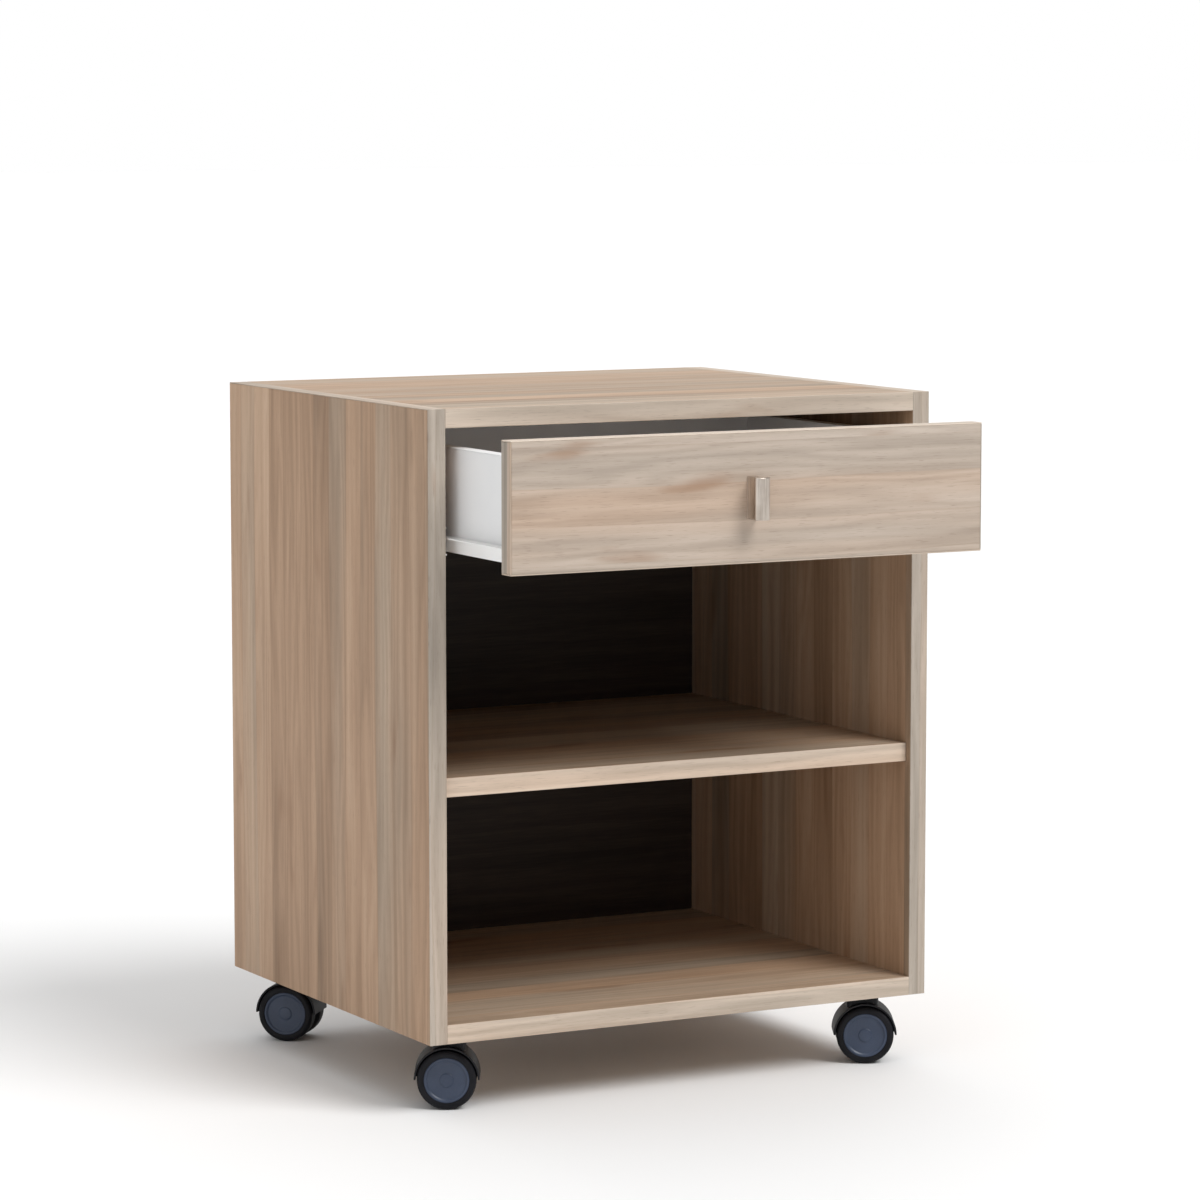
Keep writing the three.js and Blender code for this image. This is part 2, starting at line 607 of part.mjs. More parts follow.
function kingpin() {
  const shank = bar(KINGPIN_RADIUS, [0, 0, PLATE_UNDER - KINGPIN_DEPTH], [0, 0, PLATE_UNDER]);
  const collar = bar(KINGPIN_COLLAR_RADIUS, [0, 0, COLLAR_UNDER], [0, 0, PLATE_UNDER]);
  const rivet = bar(KINGPIN_RIVET_RADIUS, [0, 0, COLLAR_UNDER], [0, 0, CASTER_HEIGHT - GAP]);
  return join(shank, collar, rivet);
}

// The moulding that holds both wheels: a web between them, a roof over them and a neck above, which
// turns on the kingpin. The swivel axis is at the origin, and the axle lies TRAIL along +X.
function hood() {
  const halfWidth = WHEEL_OUTER_FACE - HOOD_SETBACK;
  const centre = [TRAIL, WHEEL_RADIUS];
  const roof = bar(HOOD_OUTER_RADIUS, [centre[0], -halfWidth, centre[1]], [centre[0], halfWidth, centre[1]], FINE);
  const wheelSpaces = [-1, 1].map((side) => bar(HOOD_INNER_RADIUS,
    [centre[0], side * WEB_THICKNESS / 2, centre[1]], [centre[0], side * (halfWidth + GAP), centre[1]], FINE));
  const lower = block([centre[0] - 2 * HOOD_OUTER_RADIUS, -2 * halfWidth, -WHEEL_RADIUS],
    [centre[0] + 2 * HOOD_OUTER_RADIUS, 2 * halfWidth, centre[1]]);
  const hub = bar(WHEEL_BOSS_RADIUS, [centre[0], -WEB_THICKNESS / 2, centre[1]],
    [centre[0], WEB_THICKNESS / 2, centre[1]]);
  const neck = prism(roundedRectangle(NECK_LENGTH, NECK_WIDTH, PLATE_CORNER), centre[1] + WHEEL_RADIUS, HOOD_TOP);
  neck.translate(NECK_SHIFT, 0, 0);
  const pinHole = bar(KINGPIN_RADIUS + FIT, [0, 0, PLATE_UNDER - KINGPIN_DEPTH - GAP], [0, 0, HOOD_TOP + GAP]);
  const axleHole = bar(AXLE_RADIUS + FIT, [centre[0], -halfWidth, centre[1]], [centre[0], halfWidth, centre[1]]);
  const shell = cut(join(roof, neck), lower, ...wheelSpaces);
  return cut(join(shell, hub), pinHole, axleHole);
}

function axle() {
  return bar(AXLE_RADIUS, [TRAIL, -AXLE_END, WHEEL_RADIUS], [TRAIL, AXLE_END, WHEEL_RADIUS]);
}

// A wheel with a dished outer face and a blind bore that opens towards the web
function wheel(side) {
  const bore = AXLE_RADIUS + FIT;
  const boreEnd = AXLE_END + GAP;
  const profile = [
    [0, WHEEL_OUTER_FACE - WHEEL_DISH_DEPTH / 2],
    [WHEEL_BOSS_RADIUS, WHEEL_OUTER_FACE - WHEEL_DISH_DEPTH / 2],
    [WHEEL_BOSS_RADIUS, WHEEL_OUTER_FACE - WHEEL_DISH_DEPTH],
    [WHEEL_DISH_RADIUS, WHEEL_OUTER_FACE - WHEEL_DISH_DEPTH],
    [WHEEL_DISH_RADIUS + WHEEL_DISH_DEPTH, WHEEL_OUTER_FACE],
    [WHEEL_RADIUS - WHEEL_EDGE, WHEEL_OUTER_FACE],
    [WHEEL_RADIUS, WHEEL_OUTER_FACE - WHEEL_EDGE],
    [WHEEL_RADIUS, WHEEL_INNER_FACE + WHEEL_EDGE],
    [WHEEL_RADIUS - WHEEL_EDGE, WHEEL_INNER_FACE],
    [bore, WHEEL_INNER_FACE],
    [bore, boreEnd],
    [0, boreEnd],
  ];
  const points = profile.map(([radius, reach]) => new THREE.Vector2(radius, reach)).reverse();
  const geometry = new THREE.LatheGeometry(points, FINE);
  if (side < 0) {
    geometry.rotateX(Math.PI);
  }
  return geometry.translate(TRAIL, 0, WHEEL_RADIUS);
}

function buildCaster({ name, side, end, heading }) {
  const mount = new THREE.Group();
  mount.position.set(side * (WIDTH / 2 - CASTER_INSET_X), end * (DEPTH / 2 - CASTER_INSET_Y), 0);
  stand.add(mount);
  const swivel = new THREE.Group();
  swivel.rotation.z = THREE.MathUtils.degToRad(heading);
  mount.add(swivel);
  add(mount, `${name}_plate`, ZINC, plate());
  add(mount, `${name}_kingpin`, BRIGHT_STEEL, kingpin());
  add(swivel, `${name}_hood`, BLACK_PLASTIC, hood());
  add(swivel, `${name}_axle`, BRIGHT_STEEL, axle());
  add(swivel, `${name}_wheel_left`, WHEEL_PLASTIC, wheel(1));
  add(swivel, `${name}_wheel_right`, WHEEL_PLASTIC, wheel(-1));
}

buildCabinet();
buildCabinetRunners();
buildDrawer();
CASTERS.forEach(buildCaster);

export default stand;
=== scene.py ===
# %% [markdown]
# # A mobile printer stand
# This lesson dresses a small office cabinet on casters: oak-look boards, a white drawer on roller
# runners, a satin knob and four twin-wheel casters. The solid model comes first and fixes every
# size and place. Each step below then makes the visible pieces around it and says why that way of
# making them was chosen.

# %% Load the solid model
import json
import math

import bmesh
import bpy
from mathutils import Matrix, Vector


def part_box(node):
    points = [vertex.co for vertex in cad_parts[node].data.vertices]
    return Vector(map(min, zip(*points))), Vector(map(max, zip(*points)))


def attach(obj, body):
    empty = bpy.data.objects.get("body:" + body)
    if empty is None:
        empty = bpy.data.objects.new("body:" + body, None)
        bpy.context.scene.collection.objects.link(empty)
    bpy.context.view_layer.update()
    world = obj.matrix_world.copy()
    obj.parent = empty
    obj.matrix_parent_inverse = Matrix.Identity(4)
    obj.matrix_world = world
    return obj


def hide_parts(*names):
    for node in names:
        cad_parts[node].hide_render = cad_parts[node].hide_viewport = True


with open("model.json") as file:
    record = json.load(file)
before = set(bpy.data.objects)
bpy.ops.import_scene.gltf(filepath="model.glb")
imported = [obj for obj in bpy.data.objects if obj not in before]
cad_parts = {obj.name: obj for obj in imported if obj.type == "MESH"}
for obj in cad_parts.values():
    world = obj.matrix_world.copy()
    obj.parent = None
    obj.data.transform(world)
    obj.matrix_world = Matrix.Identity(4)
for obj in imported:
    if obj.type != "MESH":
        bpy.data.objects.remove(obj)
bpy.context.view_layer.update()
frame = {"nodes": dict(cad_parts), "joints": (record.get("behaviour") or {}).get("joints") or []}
MM = 0.001
joints = {joint["name"]: joint for joint in frame["joints"]}

# %% [markdown]
# ## Shader maths as Python
# A material is a graph of nodes, and graphs are tedious to wire by hand. One small class wraps a
# socket, so that `1 - mask * 0.5` adds the Math nodes by itself. A second class holds a node tree and
# makes every kind of node through one method. A third is a tree that belongs to a material.

# %% A socket that can be added and multiplied
class Signal:
    """An output socket that takes part in Python arithmetic."""

    def __init__(self, graph, socket):
        self.graph = graph
        self.socket = socket

    def __add__(self, other):
        return self.graph.maths("ADD", self, other)

    def __sub__(self, other):
        return self.graph.maths("SUBTRACT", self, other)

    def __rsub__(self, other):
        return self.graph.maths("SUBTRACT", other, self)

    def __mul__(self, other):
        return self.graph.maths("MULTIPLY", self, other)

    def __truediv__(self, other):
        return self.graph.maths("DIVIDE", self, other)

    def __rtruediv__(self, other):
        return self.graph.maths("DIVIDE", other, self)

    __radd__ = __add__
    __rmul__ = __mul__


print("a signal takes + - * and / on either side")


# %% A node tree
class Graph:
    """A node tree whose nodes all come from the node method."""

    def __init__(self, tree):
        self.tree = tree

    def feed(self, socket, value):
        if isinstance(value, Signal):
            self.tree.links.new(value.socket, socket)
        elif hasattr(value, "__len__") and len(value) == 3 and socket.type == "RGBA":
            socket.default_value = (*value, 1)
        else:
            socket.default_value = value

    def node(self, kind, settings=None, values=None, output=0):
        made = self.tree.nodes.new(kind)
        for key, value in (settings or {}).items():
            if key == "stops":
                self.set_stops(made.color_ramp, value)
            else:
                setattr(made, key, value)
        for key, value in (values or {}).items():
            self.feed(made.inputs[key], value)
        return Signal(self, made.outputs[output])

    def set_stops(self, ramp, stops):
        while len(ramp.elements) < len(stops):
            ramp.elements.new(1)
        for element, (position, colour) in zip(ramp.elements, stops):
            element.position = position
            element.color = (*colour, 1)

    def maths(self, operation, first, second=0.0):
        return self.node("ShaderNodeMath", {"operation": operation}, {0: first, 1: second})

    def mix(self, factor, first, second, blend="MIX"):
        settings = {"data_type": "RGBA", "blend_type": blend}
        return self.node("ShaderNodeMix", settings, {0: factor, 6: first, 7: second}, output=2)

    def ramp(self, value, *stops):
        return self.node("ShaderNodeValToRGB", {"stops": stops}, {0: value})

    def step(self, value, low, high):
        """A smooth rise from 0 at low to 1 at high."""
        settings = {"interpolation_type": "SMOOTHSTEP"}
        values = {"Value": value, "From Min": low, "From Max": high}
        return self.node("ShaderNodeMapRange", settings, values)

    def place(self):
        """X, Y and Z in metres, as three signals."""
        point = self.node("ShaderNodeTexCoord", output="Object")
        return [self.node("ShaderNodeSeparateXYZ", None, {0: point}, axis) for axis in "XYZ"]

    def join(self, x, y=0.0, z=0.0):
        return self.node("ShaderNodeCombineXYZ", None, {0: x, 1: y, 2: z})

    def noise(self, vector, scale=1.0, detail=2.0, roughness=0.5):
        values = {"Vector": vector, "Scale": scale, "Detail": detail, "Roughness": roughness}
        return self.node("ShaderNodeTexNoise", None, values)


print("graph: colour, noise and position helpers ready")


# %% A material in the making
class Paint(Graph):
    """A material, its node tree and its surface shader."""

    def __init__(self, name, **constants):
        self.material = bpy.data.materials.new(name)
        self.material.use_nodes = True
        super().__init__(self.material.node_tree)
        self.shader = self.tree.nodes["Principled BSDF"]
        for socket, value in constants.items():
            self.shader.inputs[socket.replace("_", " ")].default_value = value

    def surface(self, colour, roughness, bump=None, strength=0.2, depth=0.0004):
        self.feed(self.shader.inputs["Base Color"], colour)
        self.feed(self.shader.inputs["Roughness"], roughness)
        if bump is not None:
            values = {"Height": bump, "Strength": strength, "Distance": depth}
            normal = self.node("ShaderNodeBump", None, values)
            self.feed(self.shader.inputs["Normal"], normal)
        return self.material


print("paint: a material's shader and bump ready")

# %% [markdown]
# ## Oak that is printed on paper
# The boards are chipboard faced with a printed oak pattern. The print shows narrow lanes of
# different tone, broad streaks along the grain, some arched figure, brown heart spots and short
# dark pores. All of it stretches along one axis, so one recipe takes the axis that the grain runs
# along. It also takes a lift, a colour that multiplies the wood; the edge bands get a far paler lift
# than the boards, which is a painted highlight along the edges. Then come a warmth, which leans the
# tones towards brown, and how strongly the lanes differ.

# %% Oak tones
OAK_GREY = [(0.235, 0.190, 0.145), (0.400, 0.330, 0.262), (0.560, 0.478, 0.392)]
OAK_WARM = [(0.250, 0.160, 0.098), (0.450, 0.318, 0.222), (0.590, 0.455, 0.345)]
OAK_HEART = (0.240, 0.130, 0.068)
OAK_PORE = (0.120, 0.076, 0.048)
OAK_STOPS = (0.20, 0.52, 0.85)
LANE = 0.031
print("oak lanes are about", round(LANE / MM), "mm wide")


# %% Oak recipe
def oak(name, run_axis, lift, warmth, lanes):
    paint = Paint(name, Specular_IOR_Level=0.32, Coat_Roughness=0.35)
    places = dict(zip("XYZ", paint.place()))
    run = places.pop(run_axis)
    first, second = places.values()
    across = first + second

    sway = paint.noise(paint.join(run * 1.8, across * 9), detail=1) - 0.5
    lane = (across + sway * 0.022) / LANE
    lane_number = paint.maths("FLOOR", lane)
    lane_edge = paint.maths("PINGPONG", lane, 0.5)
    by_number = {"noise_dimensions": "1D"}
    own = paint.node("ShaderNodeTexWhiteNoise", by_number, {"W": lane_number + 3.5})
    own_hue = paint.node("ShaderNodeTexWhiteNoise", by_number, {"W": lane_number + 71.5})
    drift = paint.noise(paint.join(run * 2.6, lane_number * 7.3), detail=1) - 0.5
    seam = 1 - paint.step(lane_edge, 0.0, 0.035)

    streaks = paint.noise(paint.join(run * 1.6, across * 64, own * 4), detail=3, roughness=0.62)
    swirl = paint.noise(paint.join(run * 3.0 + own * 8, across * 30, own * 20), detail=2)
    rings = paint.maths("SINE", (swirl * 9 + across * 110) * 4.2) * 0.5 + 0.5
    fibres = paint.noise(paint.join(run * 26, across * 900), detail=3, roughness=0.6)
    pores = paint.step(paint.noise(paint.join(run * 70, across * 1500), detail=1), 0.62, 0.72)
    heart_place = paint.join(run * 7.0, across * 34, 2.0)
    heart = paint.step(paint.noise(heart_place, detail=2) + streaks * 0.25, 0.75, 0.92)

    plain = (1 - lanes) / 2
    tone = own * 0.20 * lanes + plain * 0.20 + drift * 0.45 * lanes
    tone = tone + streaks * 0.55 + rings * 0.09 + fibres * 0.14 - 0.02
    grey = paint.ramp(tone, *zip(OAK_STOPS, OAK_GREY))
    warm = paint.ramp(tone, *zip(OAK_STOPS, OAK_WARM))
    clouds = paint.noise(paint.join(run * 1.3, across * 22, 5.0))
    hue = own_hue * 0.4 * lanes + plain * 0.4 + clouds * 0.6 + drift * 0.5 * lanes
    leaning = paint.step(hue, 0.75 - warmth * 0.75, 1.15 - warmth * 0.75)
    wood = paint.mix(leaning, grey, warm)
    wood = paint.mix(heart * 0.62, wood, OAK_HEART)
    wood = paint.mix(seam * 0.20 * lanes, wood, OAK_HEART)
    wood = paint.mix(pores * 0.28, wood, OAK_PORE)
    wood = paint.mix(1.0, wood, lift, "MULTIPLY")
    relief = fibres * 0.5 + pores * -0.7
    return paint.surface(wood, 0.46 + fibres * 0.16, relief, strength=0.10, depth=0.0003)


print("oak recipe ready")

# %% Oak for boards, drawer front and edge bands
OAK = {"Z": oak("oak_upright", "Z", (1.05, 0.97, 0.89), 0.82, 1.0),
       "X": oak("oak_level", "X", (1.05, 1.0, 0.94), 0.62, 0.6)}
OAK_FRONT = oak("oak_drawer_front", "X", (1.18, 1.20, 1.26), 0.46, 0.35)
# The bands' lifts are a painted highlight: they make every banded edge paler than its board, as if light
# caught it.
BAND_HIGHLIGHT_LIFTS = {"X": (1.50, 1.54, 1.60), "Y": (1.38, 1.38, 1.40), "Z": (1.16, 1.22, 1.30)}
HIGHLIGHT_BANDS = {axis: oak(f"oak_band_highlight_{axis.lower()}", axis, BAND_HIGHLIGHT_LIFTS[axis], 0.45, 0.5) for axis in "XYZ"}
print("oak:", [material.name for material in (*OAK.values(), OAK_FRONT, *HIGHLIGHT_BANDS.values())])

# %% [markdown]
# ## Raw edges and the back sheet
# Nobody pays for an edge band where it can't be seen, so the rear and bottom edges of the boards
# show bare chipboard: pressed chips of pale and dark wood. The back sheet is thin fibreboard, bare
# and slightly hairy outside. Its inner face is painted near-black brown, a painted shade that makes
# the bays look deep. A cell pattern makes chips, and stretched noise makes fibres.

# %% Chipboard and fibreboard
CHIP_TONES = ((0.15, (0.25, 0.165, 0.10)), (0.50, (0.46, 0.33, 0.21)), (0.85, (0.62, 0.48, 0.33)))
BACK_TONES = ((0.30, (0.150, 0.088, 0.048)), (0.50, (0.225, 0.140, 0.082)), (0.70, (0.300, 0.200, 0.125)))
# Near-black tones for the back sheet's inner face, a painted shade that darkens the bays.
PAINTED_SHADE_TONES = ((0.35, (0.020, 0.014, 0.011)), (0.50, (0.034, 0.024, 0.019)), (0.68, (0.055, 0.040, 0.031)))
PIT = (0.14, 0.09, 0.055)


def chipboard():
    paint = Paint("chipboard_core", Specular_IOR_Level=0.25)
    x, y, z = paint.place()
    warp = paint.noise(paint.join(x, y, z), scale=300, detail=3) - 0.5
    bent = paint.join(x + warp * 0.005, y + warp * 0.004, z + warp * 0.005)
    chips = []
    for scale in (430.0, 1150.0):
        cells = paint.node("ShaderNodeTexVoronoi", None, {"Vector": bent, "Scale": scale}, output="Color")
        chips.append(paint.node("ShaderNodeSeparateColor", None, {0: cells}))
    coarse, fine = chips
    dust = paint.noise(bent, scale=1800, detail=2)
    shade = coarse * 0.45 + fine * 0.35 + dust * 0.20
    colour = paint.ramp(shade, *CHIP_TONES)
    pits = paint.step(paint.noise(bent, scale=700, detail=1), 0.66, 0.72)
    colour = paint.mix(pits * 0.7, colour, PIT)
    return paint.surface(colour, 0.85 - fine * 0.1, shade - pits, strength=0.5, depth=0.0004)


def fibreboard():
    paint = Paint("fibreboard_back", Specular_IOR_Level=0.3)
    x, y, z = paint.place()
    hairs = paint.noise(paint.join(x * 300, y * 300, z * 90), detail=4, roughness=0.7)
    clouds = paint.noise(paint.join(x, y, z), scale=9, detail=3)
    tone = hairs * 0.5 + clouds * 0.5
    colour = paint.ramp(tone, *BACK_TONES)
    return paint.surface(colour, 0.62 + hairs * 0.2, hairs, strength=0.25, depth=0.0003)


# The back sheet's inner face: streaked near-black brown, a painted shade that makes the bays look deep.
def painted_shade_print():
    paint = Paint("painted_shade_sheet", Specular_IOR_Level=0.3)
    x, y, z = paint.place()
    streaks = paint.noise(paint.join(x * 3, y * 60, z * 70), detail=4, roughness=0.65)
    fine = paint.noise(paint.join(x * 40, y * 900, z * 900), detail=2)
    tone = streaks * 0.7 + fine * 0.3
    colour = paint.ramp(tone, *PAINTED_SHADE_TONES)
    return paint.surface(colour, 0.50 + fine * 0.14, fine, strength=0.1, depth=0.0002)


CHIPBOARD = chipboard()
FIBREBOARD = fibreboard()
PAINTED_SHADE_PRINT = painted_shade_print()
print("raw boards:", CHIPBOARD.name, FIBREBOARD.name, PAINTED_SHADE_PRINT.name)

# %% [markdown]
# ## White coatings, metal and plastic
# These finishes are quiet. Each one still has something that the eye knows: the faint orange peel
# of a coating, the brushed lines of a knob, the fine erosion of moulded plastic and the dust that
# gathers on a tread. One recipe takes the colours and the size of the grain, and a second one draws
# its noise out into lines for brushed metal.

# %% Plain finishes
def finish(name, dark, light, roughness, grain, cloud=14, strength=0.12, spread=0.12, **constants):
    paint = Paint(name, **constants)
    x, y, z = paint.place()
    place = paint.join(x, y, z)
    fine = paint.noise(place, scale=grain, detail=2, roughness=0.6)
    broad = paint.noise(place, scale=cloud, detail=3)
    colour = paint.mix(paint.step(broad * 0.7 + fine * 0.3, 0.30, 0.70), dark, light)
    return paint.surface(colour, roughness + (broad - 0.5) * spread, fine, strength=strength, depth=0.0002)


def brushed(name, dark, light, roughness, stretch, **constants):
    paint = Paint(name, **constants)
    x, y, z = paint.place()
    lines = paint.noise(paint.join(x * stretch[0], y * stretch[1], z * stretch[2]), detail=3, roughness=0.7)
    broad = paint.noise(paint.join(x, y, z), scale=60, detail=2)
    colour = paint.mix(paint.step(lines * 0.6 + broad * 0.4, 0.35, 0.65), dark, light)
    return paint.surface(colour, roughness + lines * 0.14, lines, strength=0.08, depth=0.0001)


WHITE_BOARD = finish("white_melamine", (0.84, 0.85, 0.86), (0.90, 0.90, 0.90), 0.42,
                     grain=1400, strength=0.06)
WHITE_STEEL = finish("white_epoxy", (0.90, 0.90, 0.89), (0.94, 0.94, 0.93), 0.34,
                     grain=700, strength=0.10, Coat_Weight=0.2)
NYLON = finish("nylon", (0.74, 0.73, 0.69), (0.82, 0.81, 0.78), 0.48, grain=500)
ZINC = finish("zinc_plate", (0.34, 0.35, 0.36), (0.55, 0.56, 0.57), 0.36,
              grain=260, cloud=70, spread=0.2, Metallic=1.0)
STEEL = finish("bright_steel", (0.48, 0.48, 0.49), (0.64, 0.64, 0.65), 0.26,
               grain=500, cloud=90, Metallic=1.0)
SATIN = brushed("satin_nickel", (0.50, 0.43, 0.37), (0.68, 0.61, 0.54), 0.27, (900, 900, 30), Metallic=1.0)
HOOD_BLACK = finish("hood_plastic", (0.004, 0.004, 0.006), (0.009, 0.009, 0.012), 0.46,
                    grain=1100, strength=0.3, Specular_IOR_Level=0.28)
TYRE_BLACK = finish("tyre_rubber", (0.003, 0.003, 0.005), (0.010, 0.010, 0.013), 0.55,
                    grain=800, cloud=60, strength=0.3, Specular_IOR_Level=0.2)
WHEEL_GREY = finish("wheel_plastic", (0.028, 0.042, 0.078), (0.042, 0.060, 0.104), 0.40,
                    grain=1000, cloud=50, strength=0.2)
print("finishes ready")

# %% [markdown]
# ## Mesh helpers
# Every piece starts as a small mesh built in code: a board with eased edges, an outline that is
# pulled straight, or a profile that is turned on a lathe. Holes and slots are real cuts. An edge
# that is eased by about half a millimetre catches the light, which makes a board look made.

# %% Objects, cuts and shading
SLIVER = 0.004 * MM


def make(name, shape):
    bmesh.ops.recalc_face_normals(shape, faces=shape.faces[:])
    mesh = bpy.data.meshes.new(name)
    shape.to_mesh(mesh)
    shape.free()
    piece = bpy.data.objects.new(name, mesh)
    bpy.context.scene.collection.objects.link(piece)
    return piece


def settle(piece):
    """Turns a piece's modifiers into plain mesh and clears slivers."""
    graph = bpy.context.evaluated_depsgraph_get()
    mesh = bpy.data.meshes.new_from_object(piece.evaluated_get(graph))
    shape = bmesh.new()
    shape.from_mesh(mesh)
    bmesh.ops.dissolve_degenerate(shape, dist=SLIVER, edges=shape.edges[:])
    bmesh.ops.remove_doubles(shape, verts=shape.verts[:], dist=SLIVER)
    shape.to_mesh(mesh)
    shape.free()
    piece.modifiers.clear()
    piece.data = mesh
    return piece


def combine(piece, operation, tools):
    for tool in tools:
        cut = piece.modifiers.new("cut", "BOOLEAN")
        cut.operation = operation
        cut.solver = "EXACT"
        cut.object = tool
    settle(piece)
    for tool in tools:
        bpy.data.objects.remove(tool)
    return piece


def ease(piece, width, segments=2, angle=35):
    bevel = piece.modifiers.new("ease", "BEVEL")
    bevel.width = width
    bevel.segments = segments
    bevel.limit_method = "ANGLE"
    bevel.angle_limit = math.radians(angle)
    return settle(piece)


print("cuts leave no edge shorter than", SLIVER / MM, "mm")


# %% Boards, bars and outlines
def board(name, low, high, rounding):
    """A box with rounded edges, or with sharp ones where rounding is 0."""
    shape = bmesh.new()
    bmesh.ops.create_cube(shape, size=1)
    for corner in shape.verts:
        corner.co = [high[i] if corner.co[i] > 0 else low[i] for i in range(3)]
    if rounding:
        round_over = {"offset": rounding, "segments": 3, "profile": 0.5, "affect": "EDGES"}
        bmesh.ops.bevel(shape, geom=shape.edges[:], **round_over)
    return make(name, shape)


def turned(name, profile, start, along, segments):
    """A profile of (radius, reach) points turned round an axis. Radius 0 closes an end."""
    axis = Vector(along).normalized()
    side = axis.orthogonal().normalized()
    up = axis.cross(side)
    shape = bmesh.new()
    angles = [math.tau * i / segments for i in range(segments)]
    spokes = [side * math.cos(angle) + up * math.sin(angle) for angle in angles]
    rings = []
    for radius, reach in profile:
        centre = Vector(start) + axis * reach
        points = [centre + spoke * radius for spoke in spokes] if radius else [centre]
        rings.append([shape.verts.new(point) for point in points])
    closed = profile[0][0] > 0 and profile[-1][0] > 0
    pairs = list(zip(rings, rings[1:])) + ([(rings[-1], rings[0])] if closed else [])
    for one, two in pairs:
        for i in range(segments):
            j = (i + 1) % segments
            corners = [one[i % len(one)], one[j % len(one)], two[j % len(two)], two[i % len(two)]]
            shape.faces.new(list(dict.fromkeys(corners)))
    return make(name, shape)


def pulled(name, outline, low, high, to_world):
    """A flat outline pulled from low to high. to_world turns (a, b, height) into a point."""
    shape = bmesh.new()
    rings = [[shape.verts.new(to_world(a, b, height)) for a, b in outline] for height in (low, high)]
    shape.faces.new(rings[0])
    shape.faces.new(rings[1])
    for i in range(len(outline)):
        j = (i + 1) % len(outline)
        shape.faces.new([rings[0][i], rings[0][j], rings[1][j], rings[1][i]])
    return make(name, shape)


def arc(centre, radius, first, last, count):
    """Points on a circle from one angle to another, in degrees."""
    angles = [math.radians(first + (last - first) * i / count) for i in range(count + 1)]
    return [(centre[0] + radius * math.cos(a), centre[1] + radius * math.sin(a)) for a in angles]


def rounded_rectangle(width, length, corner, count=6):
    x, y = width / 2 - corner, length / 2 - corner
    return [point for i, (a, b) in enumerate([(x, y), (-x, y), (-x, -y), (x, -y)])
            for point in arc((a, b), corner, 90 * i, 90 * i + 90, count)]


print("shape makers:", board.__name__, turned.__name__, pulled.__name__)


# %% Hand a piece over
def hand_over(piece, body, materials, replaced=(), angle=32):
    """Gives a piece its finish and its body, and hides the solid nodes that it stands for."""
    piece.data.materials.clear()
    for material in materials if isinstance(materials, (list, tuple)) else [materials]:
        piece.data.materials.append(material)
    piece.data.polygons.foreach_set("use_smooth", [True] * len(piece.data.polygons))
    piece.data.set_sharp_from_angle(angle=math.radians(angle))
    weighted = piece.modifiers.new("shading", "WEIGHTED_NORMAL")
    weighted.keep_sharp = True
    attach(piece, body)
    if replaced:
        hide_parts(*replaced)
    return piece


def raw_faces(piece, is_raw):
    """Gives the faces that is_raw(normal, centre) picks the second of the piece's materials."""
    for face in piece.data.polygons:
        if is_raw(face.normal, face.center):
            face.material_index = 1


print("each piece names its finish, body and slot when it is handed over")

# %% [markdown]
# ## The two side panels
# A side is one chipboard panel with its grain upright. Its front and top edges carry glued bands,
# and its rear and bottom edges are bare. It has a groove for the back sheet and holes for the
# shelf pins. The seam between a band and its board is a hairline, made by easing both.

# %% Side panels
BAND = 0.9 * MM
EASE = 0.4 * MM
BAND_EASE = 0.42 * MM
GROOVE_PLAY = 0.2 * MM
PIN_HOLE = 2.5 * MM
back_low, back_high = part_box("back_panel")


# Each band takes a highlight material: its paler colour is a painted highlight along the edge.
def band(name, low, high, axis, body="cabinet", rounding=BAND_EASE):
    piece = board(name, low, high, rounding)
    return hand_over(piece, body, HIGHLIGHT_BANDS[axis])


def groove_tool(low_x, high_x, low_z, high_z):
    low_y, high_y = back_low.y - GROOVE_PLAY, back_high.y + GROOVE_PLAY
    return board("groove", (low_x, low_y, low_z), (high_x, high_y, high_z), 0)


def pin_hole(node):
    low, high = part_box(node)
    length = high.x - low.x
    profile = [(0, 0), (PIN_HOLE, 0), (PIN_HOLE, length), (0, length)]
    return turned("pin_hole", profile, (low.x, (low.y + high.y) / 2, high.z - PIN_HOLE), (1, 0, 0), 24)


for side in ("left", "right"):
    node = f"{side}_side_panel"
    low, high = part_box(node)
    core = board(f"{side}_side_core", (low.x, low.y + BAND, low.z), (high.x, high.y, high.z - BAND), EASE)
    inside = back_low.x - GROOVE_PLAY if side == "left" else back_high.x + GROOVE_PLAY
    edge = high.x + MM if side == "left" else low.x - MM
    tools = [groove_tool(min(inside, edge), max(inside, edge), low.z - MM, back_high.z + GROOVE_PLAY)]
    tools += [pin_hole(f"shelf_pin_{side}_{end}") for end in ("front", "rear")]
    combine(core, "DIFFERENCE", tools)
    hand_over(core, "cabinet", [OAK["Z"], CHIPBOARD], [node])
    raw_faces(core, lambda normal, centre: normal.y > 0.9 or normal.z < -0.9 or
              (back_low.y - MM < centre.y < back_high.y + MM and abs(normal.y) > 0.9))
    band(f"{side}_side_front_band", (low.x, low.y, low.z), (high.x, low.y + BAND, high.z), "Z")
    band(f"{side}_side_top_band", (low.x, low.y + BAND, high.z - BAND), (high.x, high.y, high.z), "Y")
print("sides made")

# %% [markdown]
# ## Top, bottom and shelf
# The level boards run their grain from side to side and have a band along the front edge. Cam
# housings are let into the undersides of the top and the bottom, so both get round pockets.

# %% Level boards
def cam_place(node):
    """The middle, radius and depth of a cam's housing, from the solid fitting."""
    low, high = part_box(node)
    radius = (high.y - low.y) / 2
    x = high.x - radius if low.x < 0 and abs(low.x) > abs(high.x) else low.x + radius
    return Vector((x, (low.y + high.y) / 2, low.z)), radius, high.z - low.z


def cam_pocket(node):
    centre, radius, depth = cam_place(node)
    wide, deep = radius + 0.1 * MM, depth + 0.1 * MM
    return turned("pocket", [(0, -MM), (wide, -MM), (wide, deep), (0, deep)], centre, (0, 0, 1), 48)


